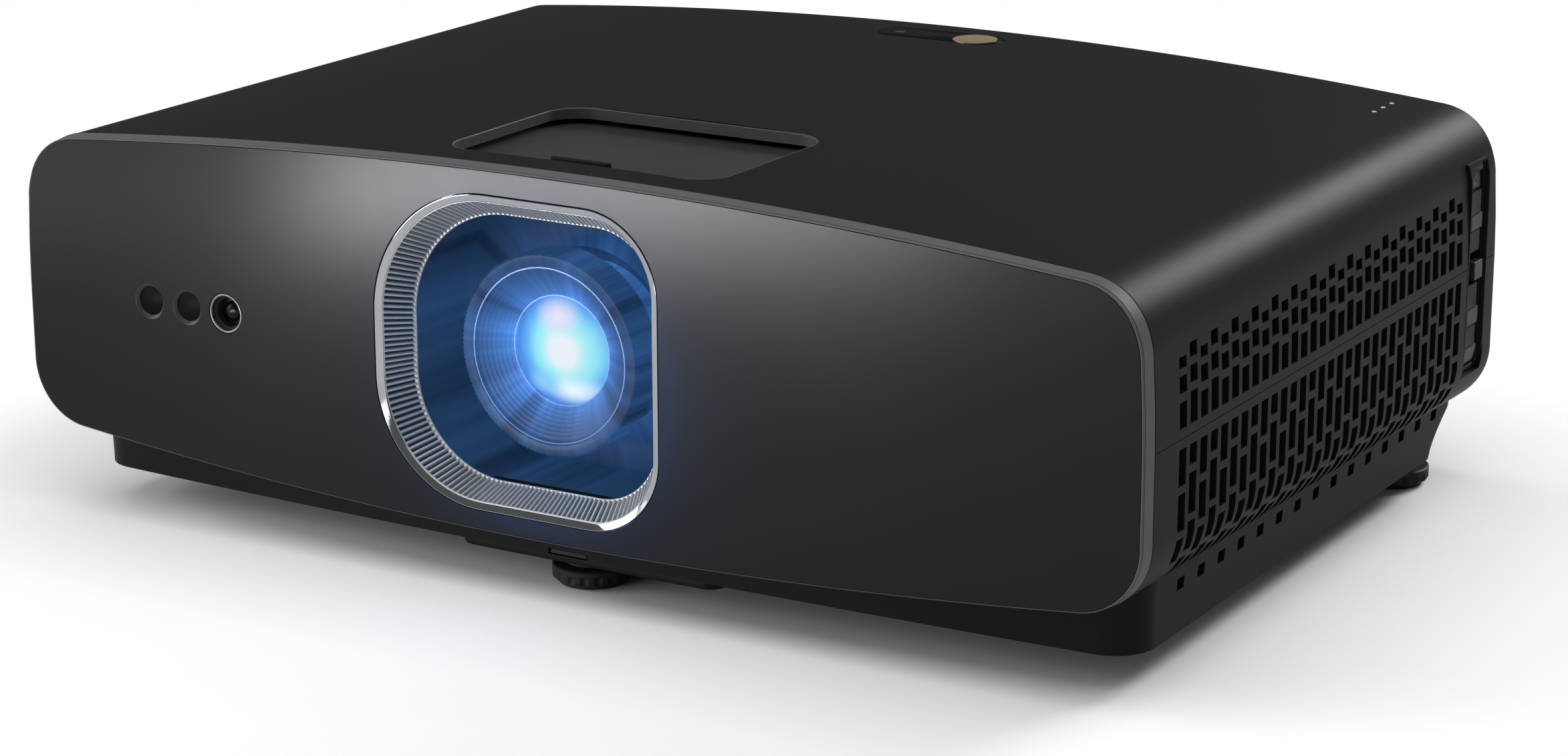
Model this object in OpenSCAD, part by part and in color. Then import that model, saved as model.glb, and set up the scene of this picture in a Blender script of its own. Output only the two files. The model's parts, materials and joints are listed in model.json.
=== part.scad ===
// Home projector: two-part case, front panel with a ribbed lens opening, sliding control
// door on top, a row of keys on the right side and three screw feet.
// Millimetres. X to the right seen from the front, Y from front to back, Z up from the floor.
// Inside from_front() the front face lies at y = 0.

/* [Case] */
// Width of the case
body_w = 420.6; // [410:0.2:430]
// Depth of the case, front face to rear edge
body_d = 288; // [284:1:300]
// Height of the top at its middle
body_h = 141.1; // [138:0.1:146]
// Height of the case's underside at its middle
belly_z = 19.8; // [18.5:0.1:21]
// How far the top falls from the middle to the sides
top_bow = 10.9; // [6:0.1:12]
// How far the underside rises from the middle to the sides
belly_bow = 12.3; // [9:0.1:13]
// Radius of the long upper edges
top_corner = 24; // [18:0.5:28]
// Radius of the long lower edges
low_corner = 23; // [18:0.5:26]
// Height over the base of the line where the two case halves meet
split_h = 69.1; // [68:0.1:70]
// Thickness of the case walls
wall = 2.5; // [2:0.1:2.8]
// Gap left between pieces that only seat in each other
seat_gap = 0.15; // [0.1:0.05:0.3]

/* [Base] */
// Height of the base's underside over the floor
base_z = 11.5; // [11.2:0.1:12]
// How far the base stands in from the case's sides
base_inset = 10.5; // [9.5:0.1:12]
// Front of the base at its middle
base_front = 14.1; // [13:0.1:15]
// How far the base's front bulges between its ends
base_bow = 4.9; // [2:0.1:6]
// Length of case left behind the base
base_behind = 14; // [10:0.5:16]
// Corner radius of the base in plan
base_corner = 14; // [10:0.5:18]
// Width of the raised pad round the front foot
plinth_w = 100; // [80:1:120]
// Middle of that pad, to the right of the case's middle
plinth_x = 5.2; // [0:0.1:8]
// Thickness of that pad
plinth_h = 3; // [2:0.1:3.5]

/* [Front panel] */
// Depth of the panel with its rim
panel_d = 6.5; // [6:0.1:8]
// Thickness of the panel's face
panel_t = 2.6; // [2:0.1:3]
// Middle of the lens opening, to the right of the case's middle
window_x = -10; // [-14:0.5:-6]
// Panel left over the lens opening, in the middle of the panel
window_over = 9.2; // [8.5:0.1:10]
// Panel left under the lens opening, in the middle of the panel
window_under = 7.7; // [7:0.1:8.5]
// Half width of the lens opening at the bezel's outside
window_hw = 54; // [52:0.5:56]
// Radius of the opening's upper left corner
window_rl = 44; // [40:1:46]
// Radius of the opening's lower left corner
window_rb = 40; // [36:1:46]
// Corner radius of the opening on its right side
window_rr = 27; // [24:1:32]
// Width of the bezel ring
bezel_w = 2.5; // [2:0.1:3]
// Depth of the ribbed funnel
funnel_d = 8; // [7:0.5:10]
// How far the funnel closes in at its sides, from its mouth to its end
funnel_in = 5.5; // [4.5:0.5:6.5]
// How far the round sensors lie under the middle of the lens opening
sensor_drop = 0.5; // [0:0.1:3]
// Places of the two sensor windows across the case
sensor_x = [-157.5, -141.5];
// Place of the camera across the case
camera_x = -125.2; // [-128:0.1:-122]

/* [Lens] */
// Height of the lens axis over the lower edge of the lens opening
lens_rise = 48.6; // [48:0.1:49.5]
// Radius of the front lens glass
glass_r = 18; // [16:0.1:18.5]
// Radius of the focus ring over its knurl
focus_r = 33.9; // [32:0.1:34]
// Radius of the lens barrel behind the focus ring
barrel_r = 25.5; // [24:0.1:26]
// Front of the focus ring, behind the front face
focus_y = 19.7; // [19:0.1:22]
// Gap all round a turning or sliding fit
run_gap = 0.05; // [0.03:0.01:0.09]
// Travel of the lens up and down from the middle
lens_shift = 4; // [2:0.5:4]

/* [Control opening] */
// Width of the opening in the top
door_open_w = 103; // [98:1:106]
// Front edge of the opening
door_open_y = 20.5; // [19:0.5:22]
// Length of the opening
door_open_l = 73.5; // [70:0.5:75]
// Corner radius of the opening
door_open_r = 12; // [8:0.5:14]
// Depth of the opening's wall
lip_d = 4.5; // [3.5:0.1:5]
// Thickness of the sliding door
door_t = 2; // [1.6:0.1:2.2]
// How far the door slides back
door_travel = 55; // [40:1:58]

/* [Side] */
// Place of the first column of slots behind the front face
vent_y = 26.3; // [24:0.1:28]
// Distance between the columns of slots
vent_pitch = 7.44; // [7.2:0.01:7.5]
// Number of columns of slots
vent_columns = 31; // [24:1:31]
// Width of a slot
vent_w = 5; // [4:0.1:5.4]
// Length of case left behind the key recess
keys_behind = 12; // [9:0.1:13]
// Length of the key recess, front to back
keys_l = 18; // [18:0.1:19]
// Lower edge of the key recess over the base
keys_low = 29.5; // [28.5:0.1:31]
// Height of the key recess
keys_h = 76.2; // [75:0.1:77]
// How far a key goes in
key_travel = 1; // [0.6:0.1:1]

/* [Feet] */
// Radius of a foot's knurled disc
foot_r = 13.2; // [12:0.1:14]
// Place of the front foot behind the front face
front_foot_y = 28.5; // [28:0.1:30]
// Distance of the rear feet from the base's sides
rear_foot_in = 15.8; // [14:0.1:20]
// Distance of the rear feet from the rear edge of the case
rear_foot_behind = 27; // [26:0.5:32]
// Radius of the feet's screws
screw_r = 4; // [3:0.5:4]
// Spacing of the ceiling-mount holes across the case
mount_w = 230; // [200:5:260]
// Spacing of the ceiling-mount holes, front to back
mount_l = 170; // [150:5:180]
// Radius of the ceiling-mount holes
mount_r = 2.1; // [2:0.05:2.6]

/* [Hidden] */
$fn = 64;
half_w = body_w / 2;
base_w = body_w - 2 * base_inset;
base_back = body_d - base_behind;
// The side's slots and keys keep their spacing on a side that stands 129.6 over the base
side_k = (body_h - base_z) / 129.6;
split_z = side_z(split_h);
window_hh = (body_h - window_over - belly_z - window_under) / 2;
window_z = belly_z + window_under + window_hh;
lens_z = window_z - window_hh + lens_rise;
sensor_z = window_z - sensor_drop;
open_x = door_open_w / 2;
door_z = body_h - lip_d - 1.8 - door_t;
inside_x = half_w - wall;
chip_z = lens_z;
sleeve_r = 29.4;
funnel_z = window_z - 9.4;
funnel_end = 1 - funnel_in / (window_hw - bezel_w);
shroud_back = 46;
carriage_y = 84;
carriage_t = 6;
carriage_hh = 32;
rod_x = 40;
rod_r = 2.5;
frame_y = 92;
engine_y = 98;
engine_back = 185;
engine_top = door_z - 12.8;
led_z = [for (k = [-1:1]) lens_z - 1 + 18 * k];
dial_x = 38;
dial_y = 77;
dial_z = door_z - 12;
leg_r = 9;
mount_y = body_d / 2 + 6;
mount_hole_d = 6.5;
deck_z = base_z + 8;
deck_t = 1.5;
deck_top = deck_z + deck_t;
deck_back = body_d - 45;
fan_x = half_w - 20.8;
intake_y = 130;
exhaust_y = 155;
fan_z = (belly_z + body_h) / 2 - 2.45;
fins_x = fan_x - 95.5;
supply_x = 13.5 - fan_x;
board_z = base_z + 30;
rear_y = body_d - 5.5;
rear_t = 2.5;
board_front = rear_y - 56.5;
speaker_x = half_w - 60.3;
speaker_z = body_h - 36.1;
rear_foot_x = base_w / 2 - rear_foot_in;
rear_foot_y = body_d - rear_foot_behind;
keys_y = body_d - keys_behind - keys_l;
keys_z = side_z(keys_low);
keys_top = side_z(keys_low + keys_h);
keys_floor = half_w - 10.7;
key_face = half_w - 0.9;
ir_y = body_d - 31.5;
light_x = half_w - 34.8;
light_y = [for (k = [0:2]) body_d - 35.5 + 8 * k];
plate_col = [0.25, 0.26, 0.28];
case_col = [0.13, 0.13, 0.14];
rim_col = [0.42, 0.43, 0.45];
steel_col = [0.7, 0.71, 0.73];
dark_col = [0.06, 0.06, 0.07];
glass_col = [0.3, 0.55, 0.9];
board_col = [0.05, 0.28, 0.16];

// Slots in one column, as heights of their lower and upper ends over the base
UPPER_LOW = [[72.2, 80.3], [83, 88.2], [90.5, 94]];
UPPER_TALL = [[72.2, 82.2], [84.7, 90], [92.4, 97]];
LOWER_LONG = [[54.5, 66], [40.4, 52], [30, 38], [22, 28.4]];
LOWER_SHORT = [[59.5, 66], [44.2, 57], [32.3, 42], [22.8, 30]];

module from_front() { translate([0, -body_d / 2, 0]) children(); }

// Height on the case's side of a place drawn as a height over the base
function side_z(h) = base_z + h * side_k;

function arc(cx, cy, r, a0, a1, n) =
    [for (i = [0:n]) let (a = a0 + (a1 - a0) * i / n) [cx + r * cos(a), cy + r * sin(a)]];

function bow_radius(half, bow) = (half * half + bow * bow) / (2 * bow);

// Rounded box outline whose low and high sides bulge. The sides stand at +-hw.
function pillow(hw, lo, lo_bow, lo_r, hi, hi_bow, hi_r, inset) =
    let (
        hr = bow_radius(hw, hi_bow), hc = hi - hr,
        lr = bow_radius(hw, lo_bow), lc = lo + lr,
        tx = hw - hi_r, tz = hc + sqrt(pow(hr - hi_r, 2) - tx * tx), ta = atan2(tz - hc, tx),
        bx = hw - lo_r, bz = lc - sqrt(pow(lr - lo_r, 2) - bx * bx), ba = atan2(lc - bz, bx)
    )
    concat(
        arc(tx, tz, hi_r - inset, 0, ta, 10),
        [for (i = [1:19]) let (a = ta + (180 - 2 * ta) * i / 20)
            [(hr - inset) * cos(a), hc + (hr - inset) * sin(a)]],
        arc(-tx, tz, hi_r - inset, 180 - ta, 180, 10),
        arc(-bx, bz, lo_r - inset, 180, 180 + ba, 10),
        [for (i = [1:19]) let (a = 180 + ba + (180 - 2 * ba) * i / 20)
            [(lr - inset) * cos(a), lc + (lr - inset) * sin(a)]],
        arc(bx, bz, lo_r - inset, 360 - ba, 360, 10)
    );

// Height of the case's top at a distance from the middle
function top_at(x) =
    let (r = bow_radius(half_w, top_bow)) body_h - r + sqrt(r * r - x * x);

// A flat shape drawn as (x, z), standing between two depths
module standing(y0, y1) {
    translate([0, y1, 0]) rotate([90, 0, 0]) linear_extrude(y1 - y0) children();
}

// A turned shape, profile drawn as (radius, depth), on an axis that runs front to back
module turned_y(x, z) { translate([x, 0, z]) rotate([-90, 0, 0]) rotate_extrude() children(); }

// A round bar on an axis that runs front to back
module bar_y(x, z, y0, y1, r) { translate([x, y0, z]) rotate([-90, 0, 0]) cylinder(h = y1 - y0, r = r); }

// A round bar on an axis that runs left to right
module bar_x(x0, x1, y, z, r) { translate([x0, y, z]) rotate([0, 90, 0]) cylinder(h = x1 - x0, r = r); }

module bar_z(x, y, z0, z1, r) { translate([x, y, z0]) cylinder(h = z1 - z0, r = r); }

module block(x0, x1, y0, y1, z0, z1) { translate([x0, y0, z0]) cube([x1 - x0, y1 - y0, z1 - z0]); }

module round_rect(x0, x1, y0, y1, r) {
    translate([x0 + r, y0]) square([x1 - x0 - 2 * r, y1 - y0]);
    translate([x0, y0 + r]) square([x1 - x0, y1 - y0 - 2 * r]);
    for (x = [x0 + r, x1 - r], y = [y0 + r, y1 - r]) translate([x, y]) circle(r);
}

module body_section(inset) {
    polygon(pillow(half_w, belly_z, belly_bow, low_corner, body_h, top_bow, top_corner, inset));
}

module base_plan(inset) {
    polygon(pillow(base_w / 2, base_front, base_bow, base_corner, base_back, 2, base_corner, inset));
}

module body_solid(inset, y0, y1) { standing(y0, y1) body_section(inset); }

// The lens opening's outline, drawn in by an amount
module window_shape(inset) {
    x0 = window_x - window_hw + inset;
    x1 = window_x + window_hw - inset;
    z0 = window_z - window_hh + inset;
    z1 = window_z + window_hh - inset;
    rl = window_rl - inset;
    rb = window_rb - inset;
    rr = window_rr - inset;
    polygon([[x0 + rb, z0], [x1 - rr, z0], [x1, z0 + rr], [x1, z1 - rr],
             [x1 - rr, z1], [x0 + rl, z1], [x0, z1 - rl], [x0, z0 + rb]]);
    translate([x0 + rb, z0 + rb]) circle(rb);
    translate([x0 + rl, z1 - rl]) circle(rl);
    for (z = [z0 + rr, z1 - rr]) translate([x1 - rr, z]) circle(rr);
}

// Slots of one half of the case, on both sides
module vent_slots(even, odd, skip_low) {
    for (c = [0:vent_columns - 1], s = (c % 2 == 0) ? even : odd)
        if (!(c == 0 && s[0] < skip_low))
            for (side = [-1, 1])
                translate([side * (half_w - 8), vent_y + c * vent_pitch, side_z((s[0] + s[1]) / 2)])
                    cube([22, vent_w, (s[1] - s[0]) * side_k], center = true);
}

module key_opening() { block(half_w - 12, half_w + 2, keys_y, keys_y + keys_l, keys_z, keys_top); }

// ---- Case ----

module upper_case() color(case_col) from_front() {
    difference() {
        union() {
            intersection() {
                difference() {
                    body_solid(0, panel_d + seat_gap, body_d);
                    body_solid(wall, 0, body_d + 1);
                }
                block(-half_w, half_w, 0, body_d, split_z + seat_gap / 2, body_h);
            }
            intersection() {
                body_solid(0, 0, body_d);
                translate([0, 0, body_h - lip_d]) linear_extrude(lip_d + 1)
                    round_rect(-open_x - 1.2, open_x + 1.2, door_open_y - 1.2,
                               door_open_y + door_open_l + 1.2, door_open_r + 1.2);
            }
        }
        translate([0, 0, split_z]) linear_extrude(body_h)
            round_rect(-open_x, open_x, door_open_y, door_open_y + door_open_l, door_open_r);
        translate([0, 0, split_z]) linear_extrude(body_h)
            round_rect(-25.3, 25.3, ir_y - 0.25, ir_y + 16.75, 8.45);
        for (y = light_y) bar_z(light_x, y, split_z, body_h, 0.9);
        vent_slots(UPPER_LOW, UPPER_TALL, 0);
        key_opening();
    }
}

module lower_case() color(case_col) from_front() {
    difference() {
        union() {
            intersection() {
                body_solid(0, panel_d + seat_gap, body_d);
                block(-half_w, half_w, 0, body_d, 0, split_z - seat_gap / 2);
            }
            translate([0, 0, base_z]) linear_extrude(24) base_plan(0);
            translate([0, 0, base_z - plinth_h]) linear_extrude(plinth_h + 1)
                round_rect(plinth_x - plinth_w / 2, plinth_x + plinth_w / 2,
                           base_front + 2, base_front + 38, 6);
        }
        difference() {
            union() {
                intersection() {
                    body_solid(wall, 0, body_d + 1);
                    block(-half_w, half_w, 0, body_d + 1, 0, split_z + 1);
                }
                translate([0, 0, base_z + wall]) linear_extrude(24) base_plan(wall);
            }
            for (x = [-1, 1], y = [-1, 1])
                bar_z(x * mount_w / 2, mount_y + y * mount_l / 2, base_z, deck_z - 0.1, 7);
            bar_z(0, front_foot_y, base_z, base_z + 19.6, 12);
            for (x = [-1, 1]) bar_z(x * rear_foot_x, rear_foot_y, base_z, base_z + 14, 9);
            for (x = [-100, 100], y = [rear_y - 34, rear_y - 10]) bar_z(x, y, base_z, board_z - 0.1, 4);
        }
        for (x = [-1, 1], y = [-1, 1])
            bar_z(x * mount_w / 2, mount_y + y * mount_l / 2, base_z - 1, base_z + mount_hole_d, mount_r);
        bar_z(0, front_foot_y, 0, base_z + 25, leg_r + run_gap);
        for (x = [-1, 1]) bar_z(x * rear_foot_x, rear_foot_y, 0, base_z + 15, screw_r + run_gap);
        block(-7.5, 7.5, 0, front_foot_y - leg_r + 1, base_z + 0.1, base_z + 2.1);
        vent_slots(LOWER_LONG, LOWER_SHORT, 24);
        for (k = [0:vent_columns / 2 - 1], side = [-1, 1])
            translate([side * base_w / 2, vent_y + (2 * k + 3) * vent_pitch, base_z + 16])
                cube([12, vent_w, 4], center = true);
        key_opening();
    }
}

// ---- Front ----

module front_panel() color(plate_col) from_front() {
    difference() {
        union() {
            body_solid(0.9, 0, 1.6);
            body_solid(0, 1.6, panel_d);
        }
        body_solid(wall + 0.4, panel_t, panel_d + 1);
        standing(-1, panel_t + 1) window_shape(-0.4);
        for (x = sensor_x) {
            turned_y(x, sensor_z) polygon([[0, -1], [7.2, -1], [4.95, 1.1], [4.95, 4], [0, 4]]);
        }
        bar_y(camera_x, sensor_z, -1, 4, 6.9);
    }
}

module lens_bezel_ring() color(steel_col) from_front() {
    difference() {
        standing(0, 4) window_shape(0);
        standing(-1, 5) window_shape(bezel_w);
    }
}

// The ribbed wall behind the bezel, closing in towards a point under the opening's middle
module lens_funnel() color(rim_col) from_front() {
    difference() {
        standing(panel_t + seat_gap, 4 + seat_gap) window_shape(-3);
        standing(0, 5) window_shape(-seat_gap);
    }
    difference() {
        standing(4 + seat_gap, 4 + funnel_d) window_shape(-3);
        translate([window_x, 4, funnel_z]) rotate([-90, 0, 0])
            linear_extrude(funnel_d + 0.01, scale = funnel_end)
                mirror([0, 1]) translate([-window_x, -funnel_z]) window_shape(bezel_w);
        standing(3, 4.6) window_shape(bezel_w);
        standing(3 + funnel_d, 5 + funnel_d)
            translate([window_x, funnel_z]) scale(funnel_end)
                translate([-window_x, -funnel_z]) window_shape(bezel_w);
    }
}

// Dark box that keeps stray light off the front, open on top above the rings
module lens_shroud() color(dark_col) from_front() {
    inner = bezel_w + funnel_in - 1.7;
    front = 4 + funnel_d + seat_gap;
    difference() {
        standing(front, shroud_back) window_shape(inner - 2);
        standing(front - 1, shroud_back - 2) window_shape(inner);
        bar_y(window_x, lens_z, 0, shroud_back + 1, barrel_r + lens_shift + 1.5);
        block(window_x - 34, window_x + 34, focus_y - 4, shroud_back - 4, lens_z + 20, body_h);
    }
}

module sensor_windows() color(dark_col) from_front() {
    for (x = sensor_x) {
        bar_y(x, sensor_z, 1.1, panel_t + 1.6, 4.9);
        bar_y(x, sensor_z, panel_t + 0.1, panel_t + 2.4, 6.4);
    }
}

module camera_ring() color(steel_col) from_front() {
    turned_y(camera_x, sensor_z)
        polygon([[5.8, 0], [6.6, 0], [6.8, 0.4], [6.8, panel_t], [7.8, panel_t + 0.1],
                 [7.8, 6], [4.9, 6], [4.9, 2.4]]);
}

module camera_lens() color(glass_col) from_front() {
    turned_y(camera_x, sensor_z)
        polygon(concat([[0, 5.9], [0, 2.6]], [for (a = [15:15:75]) [3.5 * sin(a), 4.4 - 1.8 * cos(a)]],
                       [[3.5, 4.6], [4.8, 4.6], [4.8, 5.9]]));
}

// ---- Lens ----

module focus_ring() color(plate_col) from_front() {
    difference() {
        turned_y(window_x, lens_z)
            polygon([[sleeve_r + run_gap, focus_y], [focus_r - 0.6, focus_y], [focus_r, focus_y + 0.6],
                     [focus_r, focus_y + 13], [sleeve_r + run_gap, focus_y + 13]]);
        for (a = [0:10:350])
            translate([window_x, 0, lens_z]) rotate([0, a, 0])
                translate([-0.6, focus_y + 2, focus_r - 0.5]) cube([1.2, 12, 2]);
    }
}

module zoom_ring() color(plate_col) from_front() {
    bore = barrel_r + run_gap;
    difference() {
        turned_y(window_x, lens_z)
            polygon([[bore, 50], [30, 50], [30.6, 50.6], [30.6, 61.4], [30, 62], [bore, 62]]);
        for (a = [15:15:345])
            translate([window_x, 0, lens_z]) rotate([0, a, 0])
                translate([-0.8, 51, 30]) cube([1.6, 12, 2]);
    }
    block(window_x - 3, window_x + 3, 52, 60, lens_z + 29, lens_z + 37);
}

// Outline of the barrel's wall: outside from front to back, then the stepped inside forwards
module lens_barrel() color(dark_col) from_front() {
    cone = 6;
    seat = focus_y + 7.8;
    front = focus_y + 0.5;
    lip = sleeve_r - 0.8;
    flange = sleeve_r + 1.2;
    step = (lip - glass_r - 0.6) / cone;
    turned_y(window_x, lens_z) polygon(concat(
        [[sleeve_r, front], [sleeve_r, focus_y + 13.2], [flange, focus_y + 13.2], [flange, focus_y + 17],
         [barrel_r, focus_y + 17], [barrel_r, 62.2], [27, 62.2], [27, 64], [barrel_r, 64],
         [barrel_r, 96], [22, 96], [22, 128], [11, 128], [11, 118.3], [12.1, 118.3], [12.1, 106],
         [15, 106], [15, seat + 5.5], [glass_r + 0.1, seat + 5.5], [glass_r + 0.1, seat]],
        [for (i = [0:cone - 1]) each [
            [glass_r + 0.6 + step * i, seat - (seat - front) * i / cone],
            [glass_r + 0.6 + step * (i + 1), seat - (seat - front) * i / cone]]],
        [[lip, front]]));
}

// A round glass, bulging forwards by one amount and backwards by another
module glass(r, y, edge, front, back) {
    fr = bow_radius(r, front);
    br = bow_radius(r, back);
    fa = asin(r / fr);
    ba = asin(r / br);
    turned_y(window_x, lens_z) polygon(concat(
        [for (i = [0:8]) [fr * sin(fa * i / 8), y - front + fr - fr * cos(fa * i / 8)]],
        [for (i = [8:-1:0]) [br * sin(ba * i / 8), y + edge + back - br + br * cos(ba * i / 8)]]));
}

module front_lens_glass() color(glass_col) from_front() glass(glass_r, focus_y + 8.6, 4, 3.2, 1.5);

module rear_lens_glass() color(glass_col) from_front() glass(12, 115, 3, 2, 2);

module lens_carriage() color(rim_col) from_front() {
    difference() {
        union() {
            block(window_x - 46, window_x + 46, carriage_y, carriage_y + carriage_t,
                  lens_z - carriage_hh, lens_z + carriage_hh);
            block(dial_x - 8, dial_x + 6, dial_y - 7, carriage_y + 1, lens_z - 6, lens_z + 6);
        }
        bar_y(window_x, lens_z, carriage_y - 1, carriage_y + carriage_t + 1, barrel_r + run_gap);
        for (x = [-1, 1])
            bar_z(window_x + x * rod_x, carriage_y + 3, lens_z - 40, lens_z + 40, rod_r + run_gap);
        bar_z(dial_x, dial_y, lens_z - 10, lens_z + 10, 2 + run_gap);
    }
}

module lens_mount_frame() color(steel_col) from_front() {
    low = lens_z - carriage_hh - lens_shift - 1;
    high = lens_z + carriage_hh + lens_shift + 1;
    difference() {
        union() {
            block(window_x - 50, window_x + 50, frame_y, frame_y + 5, deck_top + 0.1, high + 4);
            block(window_x - 50, window_x + 50, carriage_y - 1, frame_y + 1, low - 4, low);
            block(window_x - 50, window_x + 50, carriage_y - 1, frame_y + 1, high, high + 4);
            block(dial_x - 9, dial_x + 7, dial_y - 6, frame_y + 1, high, high + 4);
        }
        bar_y(window_x, lens_z, frame_y - 1, frame_y + 6, 32);
        for (x = [-1, 1])
            bar_z(window_x + x * rod_x, carriage_y + 3, low - 3, high + 3, rod_r + run_gap);
        bar_z(dial_x, dial_y, high - 1, high + 5, 2 + run_gap);
    }
}

module guide_rods() color(steel_col) from_front() {
    low = lens_z - carriage_hh - lens_shift - 4;
    high = lens_z + carriage_hh + lens_shift + 3.8;
    for (x = [-1, 1]) bar_z(window_x + x * rod_x, carriage_y + 3, low, high, rod_r);
}

module shift_dial() color(dark_col) from_front() {
    bar_z(dial_x, dial_y, lens_z - 12, dial_z + 1, 2);
    difference() {
        bar_z(dial_x, dial_y, lens_z + carriage_hh + lens_shift + 5.3, dial_z + 6, 8);
        for (a = [0:15:345])
            translate([dial_x, dial_y, 0]) rotate([0, 0, a])
                translate([7.6, -0.5, lens_z]) cube([1, 1, 60]);
    }
}

// ---- Control door ----

module sliding_door() color(case_col) from_front() {
    block(-open_x - 1, open_x + 1, door_open_y - 1.5, door_open_y + door_open_l + 3,
          door_z, door_z + door_t);
    block(-11.2, 11.2, door_open_y + 3.5, door_open_y + 7, door_z + door_t - 0.5, body_h - 0.6);
    for (k = [0:2])
        block(-9.5, 9.5, door_open_y + 8.5 + 2 * k, door_open_y + 9.3 + 2 * k,
              door_z + door_t - 0.5, door_z + door_t + 0.5);
}

module door_rails() color(dark_col) from_front() {
    far = open_x + 3.4;
    high = top_at(far) - wall - 0.15;
    rail_end = door_open_y + door_open_l + 6 + door_travel;
    for (side = [-1, 1]) {
        block(side < 0 ? -far : open_x + 1.3, side < 0 ? -open_x - 1.3 : far,
              door_open_y - 3, rail_end, door_z - 2, high);
        block(side < 0 ? -far : open_x - 4, side < 0 ? -open_x + 4 : far,
              door_open_y - 3, rail_end, door_z - 2, door_z - 0.2);
    }
    block(-far, far, door_open_y - 5, door_open_y - 3, door_z - 2, door_z + door_t);
}

// ---- Top trim ----

module top_ir_window() color(dark_col) from_front() {
    translate([0, 0, body_h - wall - 0.3]) linear_extrude(wall - 0.1)
        round_rect(-25.3 + seat_gap, 25.3 - seat_gap, ir_y - 0.25 + seat_gap, ir_y + 16.75 - seat_gap, 8.3);
    translate([0, 0, body_h - wall - 1.5]) linear_extrude(1.2)
        round_rect(-27, 27, ir_y - 2, ir_y + 18.5, 9);
}

module trim_disc() color([0.75, 0.62, 0.35]) from_front() {
    bar_z(14.2, ir_y + 8.25, body_h - 0.38, body_h - 0.04, 8.25);
}

module status_lights() color([0.8, 0.85, 0.9]) from_front() {
    for (y = light_y) bar_z(light_x, y, top_at(light_x) - 4, top_at(light_x) - 0.1, 0.8);
}

// ---- Keys in the side recess ----
// Heights over the base of each key's lower and upper edge
POWER_KEY = [95.5, 102];
MENU_KEY = [81.5, 87];
STICK_GAP = [62.4, 74];
STICK_KEY = [63.6, 70];
BACK_KEY = [47.5, 53.5];
SOURCE_KEY = [33.4, 39.8];
strip_y = keys_y + 3;
strip_w = 10.6;
stick_y = keys_y + 10.2;
pivot_in = 3.1;
stick_z = side_z((STICK_KEY[0] + STICK_KEY[1]) / 2);

module key_strip(z0, z1) {
    far = strip_y + strip_w;
    block(keys_floor - 1, key_face, keys_y + 0.5, far - 3, side_z(z0), side_z(z1));
    block(keys_floor - 1, key_face - 3, far - 3.1, far, side_z(z0), side_z(z1));
    bar_z(key_face - 3, far - 3, side_z(z0), side_z(z1), 3);
}

module keypad_frame() color(case_col) from_front() {
    y0 = keys_y + seat_gap;
    y1 = keys_y + keys_l - seat_gap;
    z0 = keys_z + seat_gap;
    z1 = keys_top - seat_gap;
    intersection() {
        body_solid(0.2, 0, body_d);
        union() {
            difference() {
                block(keys_floor - 1.5, half_w, y0, y1, z0, z1);
                block(keys_floor, half_w + 1, y0 + 0.85, y1 - 0.85, z0 + 0.85, z1 - 0.85);
                bar_x(keys_floor - 2, keys_floor + 1, stick_y, stick_z, 2.2);
            }
            key_strip(POWER_KEY[1] + 0.3, keys_low + keys_h - 0.9);
            key_strip(MENU_KEY[1] + 0.3, POWER_KEY[0] - 0.3);
            key_strip(STICK_GAP[1], MENU_KEY[0] - 0.3);
            key_strip(BACK_KEY[1] + 0.3, STICK_GAP[0]);
            key_strip(SOURCE_KEY[1] + 0.3, BACK_KEY[0] - 0.3);
            key_strip(keys_low + 0.9, SOURCE_KEY[0] - 0.3);
            block(keys_floor - 1, key_face, keys_y + 0.5, strip_y - 0.3, z0 + 0.5, side_z(STICK_GAP[0]));
            block(keys_floor - 1, key_face, keys_y + 0.5, strip_y - 0.3, side_z(STICK_GAP[1]), z1 - 0.5);
            block(keys_floor - 0.5, half_w - 1.8, keys_y + 15.2, keys_y + 16.2, z0 + 0.5, z1 - 0.5);
        }
    }
}

module key(z, sunk = 0.9) {
    intersection() {
        body_solid(sunk, 0, body_d);
        block(keys_floor + key_travel + 0.2, half_w, strip_y, strip_y + strip_w - 0.3,
              side_z(z[0]), side_z(z[1]));
    }
}

module power_button() color(dark_col) from_front() key(POWER_KEY, 2.2);

module menu_button() color(dark_col) from_front() key(MENU_KEY);

module back_button() color(dark_col) from_front() key(BACK_KEY);

module source_button() color(dark_col) from_front() key(SOURCE_KEY);

module joystick_stem() color(rim_col) from_front() {
    bar_x(keys_floor - 1.6, keys_floor + 2, stick_y, stick_z, 2);
}

module joystick_pivot() color(rim_col) from_front() {
    bar_x(keys_floor + 2.25, keys_floor + 4, stick_y, stick_z, 2.2);
    bar_y(keys_floor + pivot_in, stick_z, stick_y - 3.2, stick_y + 3.2, 0.8);
    bar_z(keys_floor + pivot_in, stick_y, stick_z - 3.2, stick_z + 3.2, 0.8);
}

module joystick_cap() color(dark_col) from_front() {
    block(keys_floor + 4.25, half_w - 0.2, stick_y - 3.8, stick_y + 3.8,
          side_z(STICK_KEY[0]), side_z(STICK_KEY[1]));
}

module key_board() color(board_col) from_front() {
    block(keys_floor - 4.4, keys_floor - 2.8, keys_y + 1, keys_y + 17, keys_z + 2, keys_top - 2);
    for (z = [POWER_KEY, MENU_KEY, BACK_KEY, SOURCE_KEY])
        block(keys_floor - 2.8, keys_floor - 1.6, strip_y + 2, strip_y + 8,
              side_z(z[0]) + 0.5, side_z(z[1]) - 0.5);
}

// ---- Feet ----

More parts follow.
